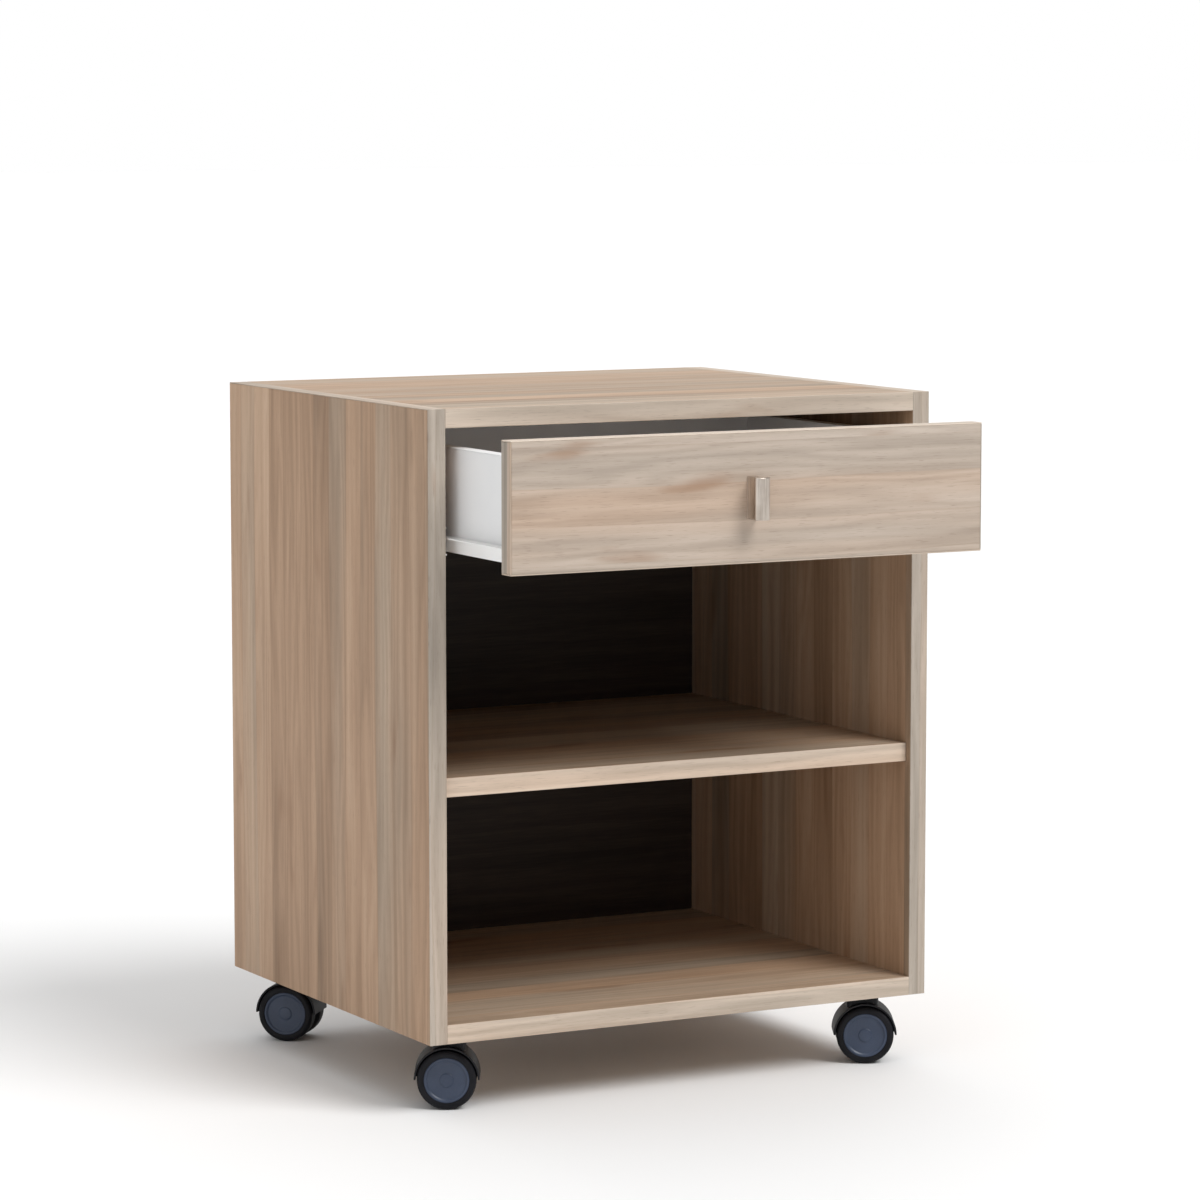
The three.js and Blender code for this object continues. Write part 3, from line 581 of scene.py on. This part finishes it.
CORNERS = [f"{side}_{end}" for side in ("left", "right") for end in ("front", "rear")]
for node, fitting in (("top_panel", "top"), ("bottom_panel", "bottom"), ("middle_shelf", None)):
    low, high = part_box(node)
    core = board(f"{node}_core", (low.x, low.y + BAND, low.z), high, EASE)
    tools = [cam_pocket(f"cam_fitting_{fitting}_{corner}") for corner in CORNERS] if fitting else []
    if node == "top_panel":
        tools.append(groove_tool(low.x - MM, high.x + MM, low.z - MM, back_high.z + GROOVE_PLAY))
    if tools:
        combine(core, "DIFFERENCE", tools)
    hand_over(core, "cabinet", [OAK["X"], CHIPBOARD], [node])
    raw_faces(core, lambda normal, centre: abs(normal.x) > 0.9 or normal.y > 0.9)
    band(f"{node}_front_band", low, (high.x, low.y + BAND, high.z), "X")
print("level boards made")

# %% [markdown]
# ## Back sheet
# The back sheet is thin fibreboard that slides into grooves in the sides and the top. It is one
# plain board with two finishes. The face that looks into the bays is painted near-black as painted
# shade, and the bare face looks out.

# %% Back sheet
back = board("back_sheet", back_low, back_high, 0.3 * MM)
hand_over(back, "cabinet", [PAINTED_SHADE_PRINT, FIBREBOARD], ["back_panel"])
raw_faces(back, lambda normal, centre: normal.y > -0.5)
print("back sheet faces:", len(back.data.polygons))

# %% [markdown]
# ## Fittings of the cabinet
# A cam is a die-cast disc with a cross slot that a screwdriver turns. A shelf pin is a turned stud
# with a flat cut on its head for the shelf. Both are lathe work with a cut or two, so a profile
# and a few sharp blocks to cut with are all that they need.

# %% Cams and shelf pins
def cam(node):
    centre, radius, depth = cam_place(node)
    sunk, dish = 0.15 * MM, 0.65 * MM
    arm, half_slot, slot_depth = radius * 0.62, 0.9 * MM, 3 * MM
    profile = [(0, dish), (arm, dish), (radius * 0.70, sunk), (radius * 0.95, sunk),
               (radius, sunk + 0.4 * MM), (radius, depth), (0, depth)]
    piece = turned(f"{node}_housing", profile, centre, (0, 0, 1), 48)
    tools = []
    for a, b in ((half_slot, arm), (arm, half_slot)):
        low, high = centre - Vector((a, b, MM)), centre + Vector((a, b, slot_depth))
        tools.append(board("slot", low, high, 0))
    combine(piece, "DIFFERENCE", tools)
    return hand_over(piece, "cabinet", ZINC, [node])


def shelf_pin(node):
    low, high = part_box(node)
    middle = (low + high) / 2
    outward = -1 if middle.x < 0 else 1
    stem, head = 2.4 * MM, (high.y - low.y) / 2
    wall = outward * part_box("right_side_panel")[0].x
    tip = low.x if outward < 0 else high.x
    inner = high.x if outward < 0 else low.x
    seat, reach = abs(wall - inner), abs(tip - inner)
    rim, nose = 0.3 * MM, 0.6 * MM
    profile = [(0, 0), (head - 0.8 * MM, 0), (head - 0.2 * MM, 0.25 * MM), (head, 0.9 * MM),
               (head, seat - rim), (head - rim, seat), (stem, seat), (stem, reach - nose),
               (stem - nose, reach), (0, reach)]
    centre = (inner, middle.y, low.z + head)
    piece = turned(f"{node}_stud", profile, centre, (outward, 0, 0), 40)
    past, above = 30 * MM, 10 * MM
    flat = board("flat", (middle.x - past, low.y - MM, high.z),
                 (middle.x + past, high.y + MM, high.z + above), 0)
    combine(piece, "DIFFERENCE", [flat])
    return hand_over(piece, "cabinet", STEEL, [node])


for corner in CORNERS:
    cam(f"cam_fitting_top_{corner}")
    cam(f"cam_fitting_bottom_{corner}")
    shelf_pin(f"shelf_pin_{corner}")
print("fittings made:", 3 * len(CORNERS))

# %% [markdown]
# ## Drawer front
# The front is the piece that hands and eyes meet, so its edges are banded on all four sides and
# eased more than the rest. A slot behind takes the drawer's floor. The long bands run with the
# grain, and the short ones stand upright.

# %% Drawer front
FRONT_BAND = 1.2 * MM
FRONT_EASE = 0.6 * MM
FLOOR_PLAY = 0.4 * MM
low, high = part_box("drawer_front")
floor_low, floor_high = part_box("drawer_floor")
core = board("drawer_front_core", (low.x + FRONT_BAND, low.y, low.z + FRONT_BAND),
             (high.x - FRONT_BAND, high.y, high.z - FRONT_BAND), 0.3 * MM)
floor_slot = board("floor_slot", (floor_low.x - FLOOR_PLAY, floor_low.y - FLOOR_PLAY, floor_low.z),
                   (floor_high.x + FLOOR_PLAY, floor_high.y, floor_high.z + FLOOR_PLAY), 0)
combine(core, "DIFFERENCE", [floor_slot])
hand_over(core, "drawer", OAK_FRONT, ["drawer_front"])
for place, bottom in (("top", high.z - FRONT_BAND), ("bottom", low.z)):
    band(f"drawer_front_{place}_band", (low.x, low.y, bottom), (high.x, high.y, bottom + FRONT_BAND),
         "X", "drawer", FRONT_EASE)
for place, start in (("left", low.x), ("right", high.x - FRONT_BAND)):
    band(f"drawer_front_{place}_band", (start, low.y, low.z + FRONT_BAND),
         (start + FRONT_BAND, high.y, high.z - FRONT_BAND), "Z", "drawer", FRONT_EASE)
print("drawer front made")

# %% [markdown]
# ## Drawer box
# The box is white-faced board: two slotted sides, a back that stands on the floor, and the thin
# floor itself. The upper edges have white bands. The slots are cut a little wider than the floor,
# because a real floor has to slide in.

# %% Drawer box
for side in ("left", "right"):
    node = f"drawer_{side}_side"
    low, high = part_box(node)
    core = board(f"{node}_core", low, (high.x, high.y, high.z - BAND), EASE)
    slot = board("slot", (floor_low.x - FLOOR_PLAY, low.y - MM, floor_low.z),
                 (floor_high.x + FLOOR_PLAY, high.y + MM, floor_high.z + FLOOR_PLAY), 0)
    combine(core, "DIFFERENCE", [slot])
    hand_over(core, "drawer", [WHITE_BOARD, CHIPBOARD], [node])
    raw_faces(core, lambda normal, centre: normal.z < -0.9 or normal.y > 0.9)
    upper = board(f"{node}_band", (low.x, low.y, high.z - BAND), high, EASE)
    hand_over(upper, "drawer", WHITE_BOARD)
low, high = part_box("drawer_back")
rear = board("drawer_back_board", low, (high.x, high.y, high.z - BAND), EASE)
hand_over(rear, "drawer", WHITE_BOARD, ["drawer_back"])
rear_band = board("drawer_back_band", (low.x, low.y, high.z - BAND), high, EASE)
hand_over(rear_band, "drawer", WHITE_BOARD)
sheet = board("drawer_floor_sheet", floor_low, floor_high, 0.3 * MM)
hand_over(sheet, "drawer", [WHITE_BOARD, FIBREBOARD], ["drawer_floor"])
raw_faces(sheet, lambda normal, centre: normal.z < -0.5)
print("drawer box made")

# %% [markdown]
# ## Runners
# The rails are folded sheet steel under a white coating. Their section is already right in the
# solid model, so each visible rail starts from a copy of that mesh. Its flat faces are made whole
# again and its edges are eased, because folded and coated steel has no sharp corner.

# %% Rails
WELD = 0.001 * MM


def eased_copy(node, name, width):
    """A welded copy of a solid node with eased edges."""
    shape = bmesh.new()
    shape.from_mesh(frame["nodes"][node].data)
    bmesh.ops.remove_doubles(shape, verts=shape.verts[:], dist=WELD)
    flat = math.radians(1)
    bmesh.ops.dissolve_limit(shape, angle_limit=flat, verts=shape.verts[:], edges=shape.edges[:])
    return ease(make(name, shape), width, segments=2, angle=30)


SIDES = {"left": -1, "right": 1}
for side in SIDES:
    for owner in ("cabinet", "drawer"):
        rail = eased_copy(f"{owner}_rail_{side}", f"{owner}_rail_{side}_steel", 0.3 * MM)
        hand_over(rail, owner, WHITE_STEEL, [f"{owner}_rail_{side}"])
        print(rail.name, len(rail.data.polygons), "faces")

# %% [markdown]
# ## Rollers
# Each rail carries one moulded nylon roller that turns on a riveted pin. A roller is round, so it
# is turned: a raised rim and hub on both faces, a shallow dish between them, and a bore for the pin.

# %% Rollers
for node in ("cabinet_roller_left", "cabinet_roller_right", "drawer_roller_left", "drawer_roller_right"):
    low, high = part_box(node)
    centre = (low + high) / 2
    radius, width, bore = (high.z - low.z) / 2, high.x - low.x, 2.6 * MM
    edge, face = 0.8 * MM, 0.5 * MM
    half = [(bore, 0), (radius * 0.55, 0), (radius * 0.60, face), (radius * 0.80, face), (radius * 0.85, 0),
            (radius - edge, 0), (radius - 0.25 * edge, 0.25 * edge), (radius, edge)]
    profile = half + [(r, width - reach) for r, reach in reversed(half)]
    piece = turned(f"{node}_wheel", profile, (low.x, centre.y, centre.z), (1, 0, 0), 56)
    hand_over(piece, node, NYLON, [node])
print("rollers turned")

# %% [markdown]
# ## Screws
# A screw head is a low dome with a cross recess. Each group models its head once. Copies of that
# mesh are turned and placed by matrices and gathered in one object, because a group of screws never
# moves apart. Each copy is turned by its own angle, as hand-driven screws end up.

# %% A screw head and its copies
UNDERCUT = 0.2 * MM


def screw_head(radius, height):
    dome = []
    for degrees in range(15, 91, 15):
        a = math.radians(degrees)
        dome.append((radius * math.sin(a), height * (1 - math.cos(a))))
    profile = [(0, 0)] + dome + [(radius, height + UNDERCUT), (0, height + UNDERCUT)]
    head = turned("screw_head", profile, (0, 0, 0), (0, 0, 1), 32)
    arm, half_slot, recess = radius * 0.62, 0.4 * MM, height * 0.8
    tools = [board("arm", (-a, -b, -MM), (a, b, recess), 0) for a, b in ((arm, half_slot), (half_slot, arm))]
    return combine(head, "DIFFERENCE", tools)


def screws(name, radius, height, places, facing, body, replaced=()):
    """Screw heads at these points, whose domes look along facing."""
    head = screw_head(radius, height)
    turn = (-Vector(facing)).to_track_quat("Z", "Y").to_matrix().to_4x4()
    shape = bmesh.new()
    for i, place in enumerate(places):
        twist = Matrix.Rotation(math.radians(37 * i + 20), 4, "Z")
        copy = bmesh.new()
        copy.from_mesh(head.data)
        lift = Matrix.Translation(Vector(place) + Vector(facing) * (height + UNDERCUT))
        bmesh.ops.transform(copy, matrix=lift @ turn @ twist, verts=copy.verts)
        placed = bpy.data.meshes.new("placed")
        copy.to_mesh(placed)
        copy.free()
        shape.from_mesh(placed)
        bpy.data.meshes.remove(placed)
    bpy.data.objects.remove(head)
    return hand_over(make(name, shape), body, STEEL, replaced)


print("screw helper ready")

# %% The drawer's and the rails' screws
DRAWER_RAIL_STATIONS = (-0.26, -0.12, 0.01)
CABINET_RAIL_STATIONS = (-0.135, 0.0, 0.135)
CORNER_HEIGHTS = (0.502, 0.536)
RAIL_STEEL = 1.2 * MM
low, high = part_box("knob_screw")
front_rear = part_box("drawer_front")[1].y
screws("knob_screw_head", (high.z - low.z) / 2, high.y - front_rear - UNDERCUT,
       [(0, front_rear, (low.z + high.z) / 2)], (0, 1, 0), "drawer", replaced=["knob_screw"])

rail_low, rail_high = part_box("drawer_rail_right")
track_low, track_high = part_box("cabinet_rail_right")
side_low, side_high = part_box("drawer_right_side")
rear_low, rear_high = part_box("drawer_back")
lip = (side_low.x + side_high.x) / 2
web = track_high.x - RAIL_STEEL
track_middle = (track_low.z + track_high.z) / 2
corner = (rear_low.y + rear_high.y) / 2
for side, out in SIDES.items():
    places = [(out * lip, y, rail_low.z) for y in DRAWER_RAIL_STATIONS]
    screws(f"drawer_rail_screws_{side}", 3.2 * MM, 1.1 * MM, places, (0, 0, -1), "drawer")
    places = [(out * web, y, track_middle) for y in CABINET_RAIL_STATIONS]
    screws(f"cabinet_rail_screws_{side}", 3.2 * MM, 0.35 * MM, places, (-out, 0, 0), "cabinet")
    places = [(out * side_high.x, corner, z) for z in CORNER_HEIGHTS]
    screws(f"drawer_corner_screws_{side}", 3.4 * MM, 0.5 * MM, places, (out, 0, 0), "drawer")
print("rail screws stand", round(track_middle / MM, 1), "mm above the floor")

# %% [markdown]
# ## Knob
# The knob is a short upright bar, die-cast and brushed. Seen from above it is waisted, so that
# fingers find a hold behind its face. The outline is drawn once and pulled upwards, and then all
# its edges are rounded.

# %% Knob
BEND_STEPS = 8


def bend(points):
    """Quadratic curves through start, control and end points, one after another."""
    line = [points[0]]
    for start, control, end in zip(points[0::2], points[1::2], points[2::2]):
        for i in range(1, BEND_STEPS + 1):
            t = i / BEND_STEPS
            first, pull, last = (1 - t) ** 2, 2 * t * (1 - t), t ** 2
            line.append(tuple(start[k] * first + control[k] * pull + end[k] * last for k in (0, 1)))
    return line


low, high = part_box("drawer_knob")
middle = (low + high) / 2
face, reach = (high.x - low.x) / 2, high.y - low.y
base, waist = face * 0.78, face * 0.5
right = [(base, 0), (waist, -reach * 0.2), (waist, -reach * 0.4), (waist, -reach * 0.6),
         (face, -reach * 0.8), (face, -reach * 0.95), (0, -reach)]
curve = bend(right)
outline = curve + [(-a, b) for a, b in reversed(curve[:-1])]
knob = pulled("drawer_knob_bar", outline, low.z, high.z, lambda a, b, h: (middle.x + a, high.y + b, h))
ease(knob, 1.2 * MM, segments=4, angle=50)
hand_over(knob, "drawer", SATIN, ["drawer_knob"], angle=50)
print("knob:", len(knob.data.polygons), "faces")

# %% [markdown]
# ## Casters
# A twin-wheel caster has a pressed plate, a kingpin, a moulded hood with a web between the wheels,
# and two wheels on one axle. Each caster is turned its own way, so its pieces are drawn in its own
# frame: X trails from the swivel to the axle, and Y runs along the axle.

# %% The caster's own frame
def caster_frame(name):
    """A matrix from the caster's frame to the world, the trail and the height of the hub."""
    swivel = Vector(joints[f"{name}_swivel"]["pos_m"])
    hub = Vector(joints[f"{name}_wheel_left_spin"]["pos_m"])
    trail = Vector((hub.x - swivel.x, hub.y - swivel.y, 0))
    x_axis = trail.normalized()
    y_axis = Vector((0, 0, 1)).cross(x_axis)
    turn = Matrix((x_axis, y_axis, (0, 0, 1))).transposed().to_4x4()
    return Matrix.Translation((swivel.x, swivel.y, 0)) @ turn, trail.length, hub.z


def local_box(node, matrix):
    """The lowest and highest corners of a node in the caster's frame."""
    points = [matrix.inverted() @ vertex.co for vertex in frame["nodes"][node].data.vertices]
    return [Vector([pick(point[i] for point in points) for i in range(3)]) for pick in (min, max)]


def put(piece, matrix):
    piece.data.transform(matrix)
    return piece


_, trail, hub = caster_frame("caster_front_left")
print("trail", round(trail / MM, 1), "mm, hub height", round(hub / MM, 1), "mm")

# %% [markdown]
# ## Wheels
# A caster's wheel has a soft tread over a hard moulded disc. The tread is rounded at both
# shoulders, and the disc has a raised rim, a shallow dish and a small hub cap. Both are round, so
# both are turned from a profile. They are two pieces, because they are two plastics.

# %% Wheel profiles
def tyre(name, radius, inner, outer, seat):
    side = 1 if outer > inner else -1
    width = abs(outer - inner)
    shoulder = 3.2 * MM
    crown = arc((radius - shoulder, shoulder), shoulder, -90, 0, 8)
    half = [(seat, 0.5 * MM), (seat + 0.6 * MM, 0.2 * MM), (seat + 1.6 * MM, 0)] + crown
    profile = half + [(r, width - reach) for r, reach in reversed(half)]
    return turned(name, profile, (0, inner, 0), (0, side, 0), 96)


def wheel_core(name, seat, inner, outer, bore, bore_depth):
    side = 1 if outer > inner else -1
    width = abs(outer - inner)
    cap, face, dish = width - 0.7 * MM, width - 0.3 * MM, width - 1.7 * MM
    rim, back = seat - 0.05 * MM, 0.25 * MM
    hub_cap = [(0, cap), (4.6 * MM, cap), (5.4 * MM, cap - 0.2 * MM), (5.9 * MM, dish + 0.2 * MM)]
    hollow = [(6.4 * MM, dish), (15.4 * MM, dish), (16.2 * MM, dish + 0.3 * MM),
              (17.0 * MM, face - 0.2 * MM)]
    edge = [(17.6 * MM, face), (seat - 0.5 * MM, face), (rim, face - 0.5 * MM), (rim, 0.5 * MM)]
    rear = [(seat - 0.6 * MM, back), (bore, back), (bore, bore_depth), (0, bore_depth)]
    return turned(name, hub_cap + hollow + edge + rear, (0, inner, 0), (0, side, 0), 96)


print("wheel profiles ready")

# %% [markdown]
# ## Hood, plate and kingpin
# The hood is one moulding: a curved roof over both wheels, a web between them that holds the axle,
# and a neck that turns on the kingpin. The roof and the neck are eased alone, while their edges are
# still simple. Then all three are joined where they overlap, since a union of touching faces is
# fragile.

# %% Hood
HOOD_WALL = 1.6 * MM
PIN_BORE = 3.2 * MM


def hood(low, high, trail, hub, wheel_inner, pin_end):
    """An arched roof, a web and a neck in one moulding, bored for the pin."""
    outer_radius = high.x - trail
    inner_radius = outer_radius - HOOD_WALL
    seated = (outer_radius + inner_radius) / 2
    centre = (trail, hub)

    def sideways(a, b, h):
        return (a, h, b)

    def upwards(a, b, h):
        return (a, b, h)

    arch = arc(centre, outer_radius, 0, 180, 64) + arc(centre, inner_radius, 180, 0, 64)
    roof = ease(pulled("hood_roof", arch, low.y, high.y, sideways), 0.4 * MM, angle=50)
    half_web = wheel_inner - 0.5 * MM
    web_line = arc(centre, seated, 1.5, 178.5, 48) + arc(centre, 6 * MM, 180, 360, 24)
    web = pulled("web", web_line, -half_web, half_web, sideways)
    neck_line = [(a + 5 * MM, b) for a, b in rounded_rectangle(28 * MM, 24 * MM, 5 * MM)]
    neck = ease(pulled("neck", neck_line, hub + 0.5 * seated, high.z, upwards), 0.6 * MM)
    reach = high.y + 5 * MM
    saddle = turned("saddle", [(0, 0), (seated, 0), (seated, 2 * reach), (0, 2 * reach)],
                    (trail, -reach, hub), (0, 1, 0), 90)
    combine(neck, "DIFFERENCE", [saddle])
    combine(roof, "UNION", [web, neck])
    bore = turned("bore", [(0, 0), (PIN_BORE, 0), (PIN_BORE, high.z), (0, high.z)],
                  (0, 0, pin_end - 0.4 * MM), (0, 0, 1), 32)
    return combine(roof, "DIFFERENCE", [bore])


print("hood wall", HOOD_WALL / MM, "mm, pin bore", 2 * PIN_BORE / MM, "mm wide")


# %% Plate, kingpin and axle
def pressed_plate(name, low, high):
    middle = (low + high) / 2
    line = rounded_rectangle(high.x - low.x, high.y - low.y, 5 * MM, 8)
    piece = pulled(name, line, low.z, high.z, lambda a, b, h: (middle.x + a, middle.y + b, h))
    return ease(piece, 0.5 * MM)


def kingpin(name, low, high, plate_under):
    radius, shank, rivet = (high.x - low.x) / 2, 3 * MM, 4 * MM
    collar = plate_under - 1.5 * MM
    tip, edge = 0.5 * MM, 0.4 * MM
    heights = [(0, low.z), (shank - tip, low.z), (shank, low.z + tip), (shank, collar),
               (radius - edge, collar), (radius, collar + edge), (radius, plate_under),
               (rivet, plate_under), (rivet, high.z), (0, high.z)]
    foot = ((low.x + high.x) / 2, (low.y + high.y) / 2, low.z)
    return turned(name, [(r, z - low.z) for r, z in heights], foot, (0, 0, 1), 48)


def axle_pin(name, first, last, radius):
    edge = 0.5 * MM
    profile = [(0, 0), (radius - edge, 0), (radius, edge), (radius, last - first - edge),
               (radius - edge, last - first), (0, last - first)]
    return turned(name, profile, (0, first, 0), (0, 1, 0), 32)


print("plate, kingpin and axle helpers ready")

# %% [markdown]
# ## Four casters
# Every caster is the same set of pieces, so one loop builds all four in their own frames. What
# is screwed to the base rides on the cabinet, the hood and the axle ride on the swivel, and each
# wheel rides on its own body. The sizes come from the solid pieces, measured in the caster's frame.

# %% Build the four casters
SEAT = 19.2 * MM
WHEEL_BORE = 3.1 * MM
SCREW_INSET = 5.5 * MM
for end in ("front", "rear"):
    for side in ("left", "right"):
        name = f"caster_{end}_{side}"
        matrix, trail, hub = caster_frame(name)
        spot = matrix @ Matrix.Translation((trail, 0, hub))
        axle_low, axle_high = local_box(f"{name}_axle", matrix)
        for wheel in ("left", "right"):
            node = f"{name}_wheel_{wheel}"
            low, high = local_box(node, matrix)
            inner, outer = (low.y, high.y) if low.y > 0 else (high.y, low.y)
            body = joints[f"{node}_spin"]["child"]
            bore_depth = abs(axle_high.y) + 0.3 * MM - abs(inner)
            ring = put(tyre(f"{node}_tyre", hub, inner, outer, SEAT), spot)
            hand_over(ring, body, TYRE_BLACK, [node])
            core = put(wheel_core(f"{node}_disc", SEAT, inner, outer, WHEEL_BORE, bore_depth), spot)
            hand_over(core, body, WHEEL_GREY)
        low, high = local_box(f"{name}_hood", matrix)
        pin_low, pin_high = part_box(f"{name}_kingpin")
        shell = put(hood(low, high, trail, hub, abs(inner), pin_low.z), matrix)
        shell.name = f"{name}_hood_shell"
        fork = joints[f"{name}_swivel"]["child"]
        hand_over(shell, fork, HOOD_BLACK, [f"{name}_hood"])
        low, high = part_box(f"{name}_plate")
        plate = pressed_plate(f"{name}_plate_steel", low, high)
        hand_over(plate, "cabinet", ZINC, [f"{name}_plate"])
        pin = kingpin(f"{name}_kingpin_turned", pin_low, pin_high, low.z)
        hand_over(pin, "cabinet", STEEL, [f"{name}_kingpin"])
        middle, hole = (low + high) / 2, (high.x - low.x) / 2 - SCREW_INSET
        places = [(middle.x + i * hole, middle.y + j * hole, low.z) for i in (-1, 1) for j in (-1, 1)]
        screws(f"{name}_screws", 3.6 * MM, 1.6 * MM, places, (0, 0, -1), "cabinet")
        axle = axle_pin(f"{name}_axle_pin", axle_low.y, axle_high.y, (axle_high.z - axle_low.z) / 2)
        hand_over(put(axle, spot), fork, STEEL, [f"{name}_axle"])
print("casters made")

# %% [markdown]
# ## Floor
# A pale floor takes soft shadows. It is a large matt sheet just below the wheels. Its underside is
# clear, so that the base can be looked at from below, which an ordinary floor would hide.

# %% Floor
def pale_floor():
    """Matt and near white above, and clear from below."""
    paint = Paint("pale_floor", Specular_IOR_Level=0.15)
    x, y, z = paint.place()
    cloud = paint.noise(paint.join(x, y, z), scale=0.7, detail=2)
    paint.surface(paint.mix(cloud, (0.86, 0.86, 0.86), (0.90, 0.90, 0.90)), 0.75 + cloud * 0.1)
    below = paint.node("ShaderNodeNewGeometry", output="Backfacing")
    clear = paint.node("ShaderNodeBsdfTransparent")
    top = Signal(paint, paint.shader.outputs[0])
    shown = paint.node("ShaderNodeMixShader", None, {0: below, 1: top, 2: clear})
    paint.feed(paint.tree.nodes["Material Output"].inputs["Surface"], shown)
    return paint.material


FLOOR_HALF = 40
shape = bmesh.new()
bmesh.ops.create_grid(shape, x_segments=8, y_segments=8, size=FLOOR_HALF)
floor = make("studio_floor", shape)
floor.location.z = -0.2 * MM
floor.data.materials.append(pale_floor())
print("floor laid:", 2 * FLOOR_HALF, "m wide")

# %% [markdown]
# ## Light
# Four suns light the stand. A strong one from the front right makes the front the brightest side,
# a weaker one from the left keeps that side readable, one overhead brightens the floor and the top,
# and a faint one from behind lifts the rear. A sun lights the whole floor evenly, where an area
# lamp leaves a dark horizon. Each is many degrees wide, which keeps its shadow soft. The sky is
# dim as a light, and white where the camera looks straight at it.

# %% Light
def sun(name, towards, power, softness):
    """Even light from a direction. Softness is how many degrees of sky the lamp fills."""
    data = bpy.data.lights.new(name, "SUN")
    data.energy = power * math.pi
    data.angle = math.radians(softness)
    lamp = bpy.data.objects.new(name, data)
    lamp.rotation_euler = Vector(towards).to_track_quat("Z", "Y").to_euler()
    bpy.context.scene.collection.objects.link(lamp)
    return lamp


sun("key_light", (0.30, -0.60, 0.74), 0.66, 30)
sun("fill_light", (-0.80, -0.45, 0.40), 0.19, 60)
sun("top_light", (0.05, 0.10, 1.0), 0.36, 70)
sun("rear_light", (0.35, 0.80, 0.50), 0.14, 60)

SKY_GLOW = 0.24
WHITE = (1, 1, 1)
world = bpy.data.worlds.new("studio")
bpy.context.scene.world = world
world.use_nodes = True
sky = Graph(world.node_tree)
dim = sky.tree.nodes["Background"]
sky.feed(dim.inputs["Color"], WHITE)
sky.feed(dim.inputs["Strength"], SKY_GLOW)
backdrop = sky.node("ShaderNodeBackground", None, {"Color": WHITE})
seen = sky.node("ShaderNodeLightPath", output="Is Camera Ray")
shown = sky.node("ShaderNodeMixShader", None, {0: seen, 1: Signal(sky, dim.outputs[0]), 2: backdrop})
sky.feed(sky.tree.nodes["World Output"].inputs["Surface"], shown)
bpy.context.scene.view_settings.view_transform = "Standard"

# %% [markdown]
# ## Camera
# The camera stands to the left, about four metres off, and looks slightly down. A long lens from
# far away keeps the upright edges nearly parallel, as product shots do.

# %% Camera
TURN, TILT = 28.17, 6.30
SENSOR, LENS = 36, 139.3
STAND_POINT = (-1.894, -3.585, 0.848)
camera = bpy.data.objects.new("camera", bpy.data.cameras.new("camera"))
camera.data.sensor_width = SENSOR
camera.data.lens = LENS
camera.location = STAND_POINT
camera.rotation_euler = (math.radians(90 - TILT), 0, math.radians(-TURN))
bpy.context.scene.collection.objects.link(camera)
bpy.context.scene.camera = camera
print("camera at", tuple(round(v, 3) for v in camera.location))
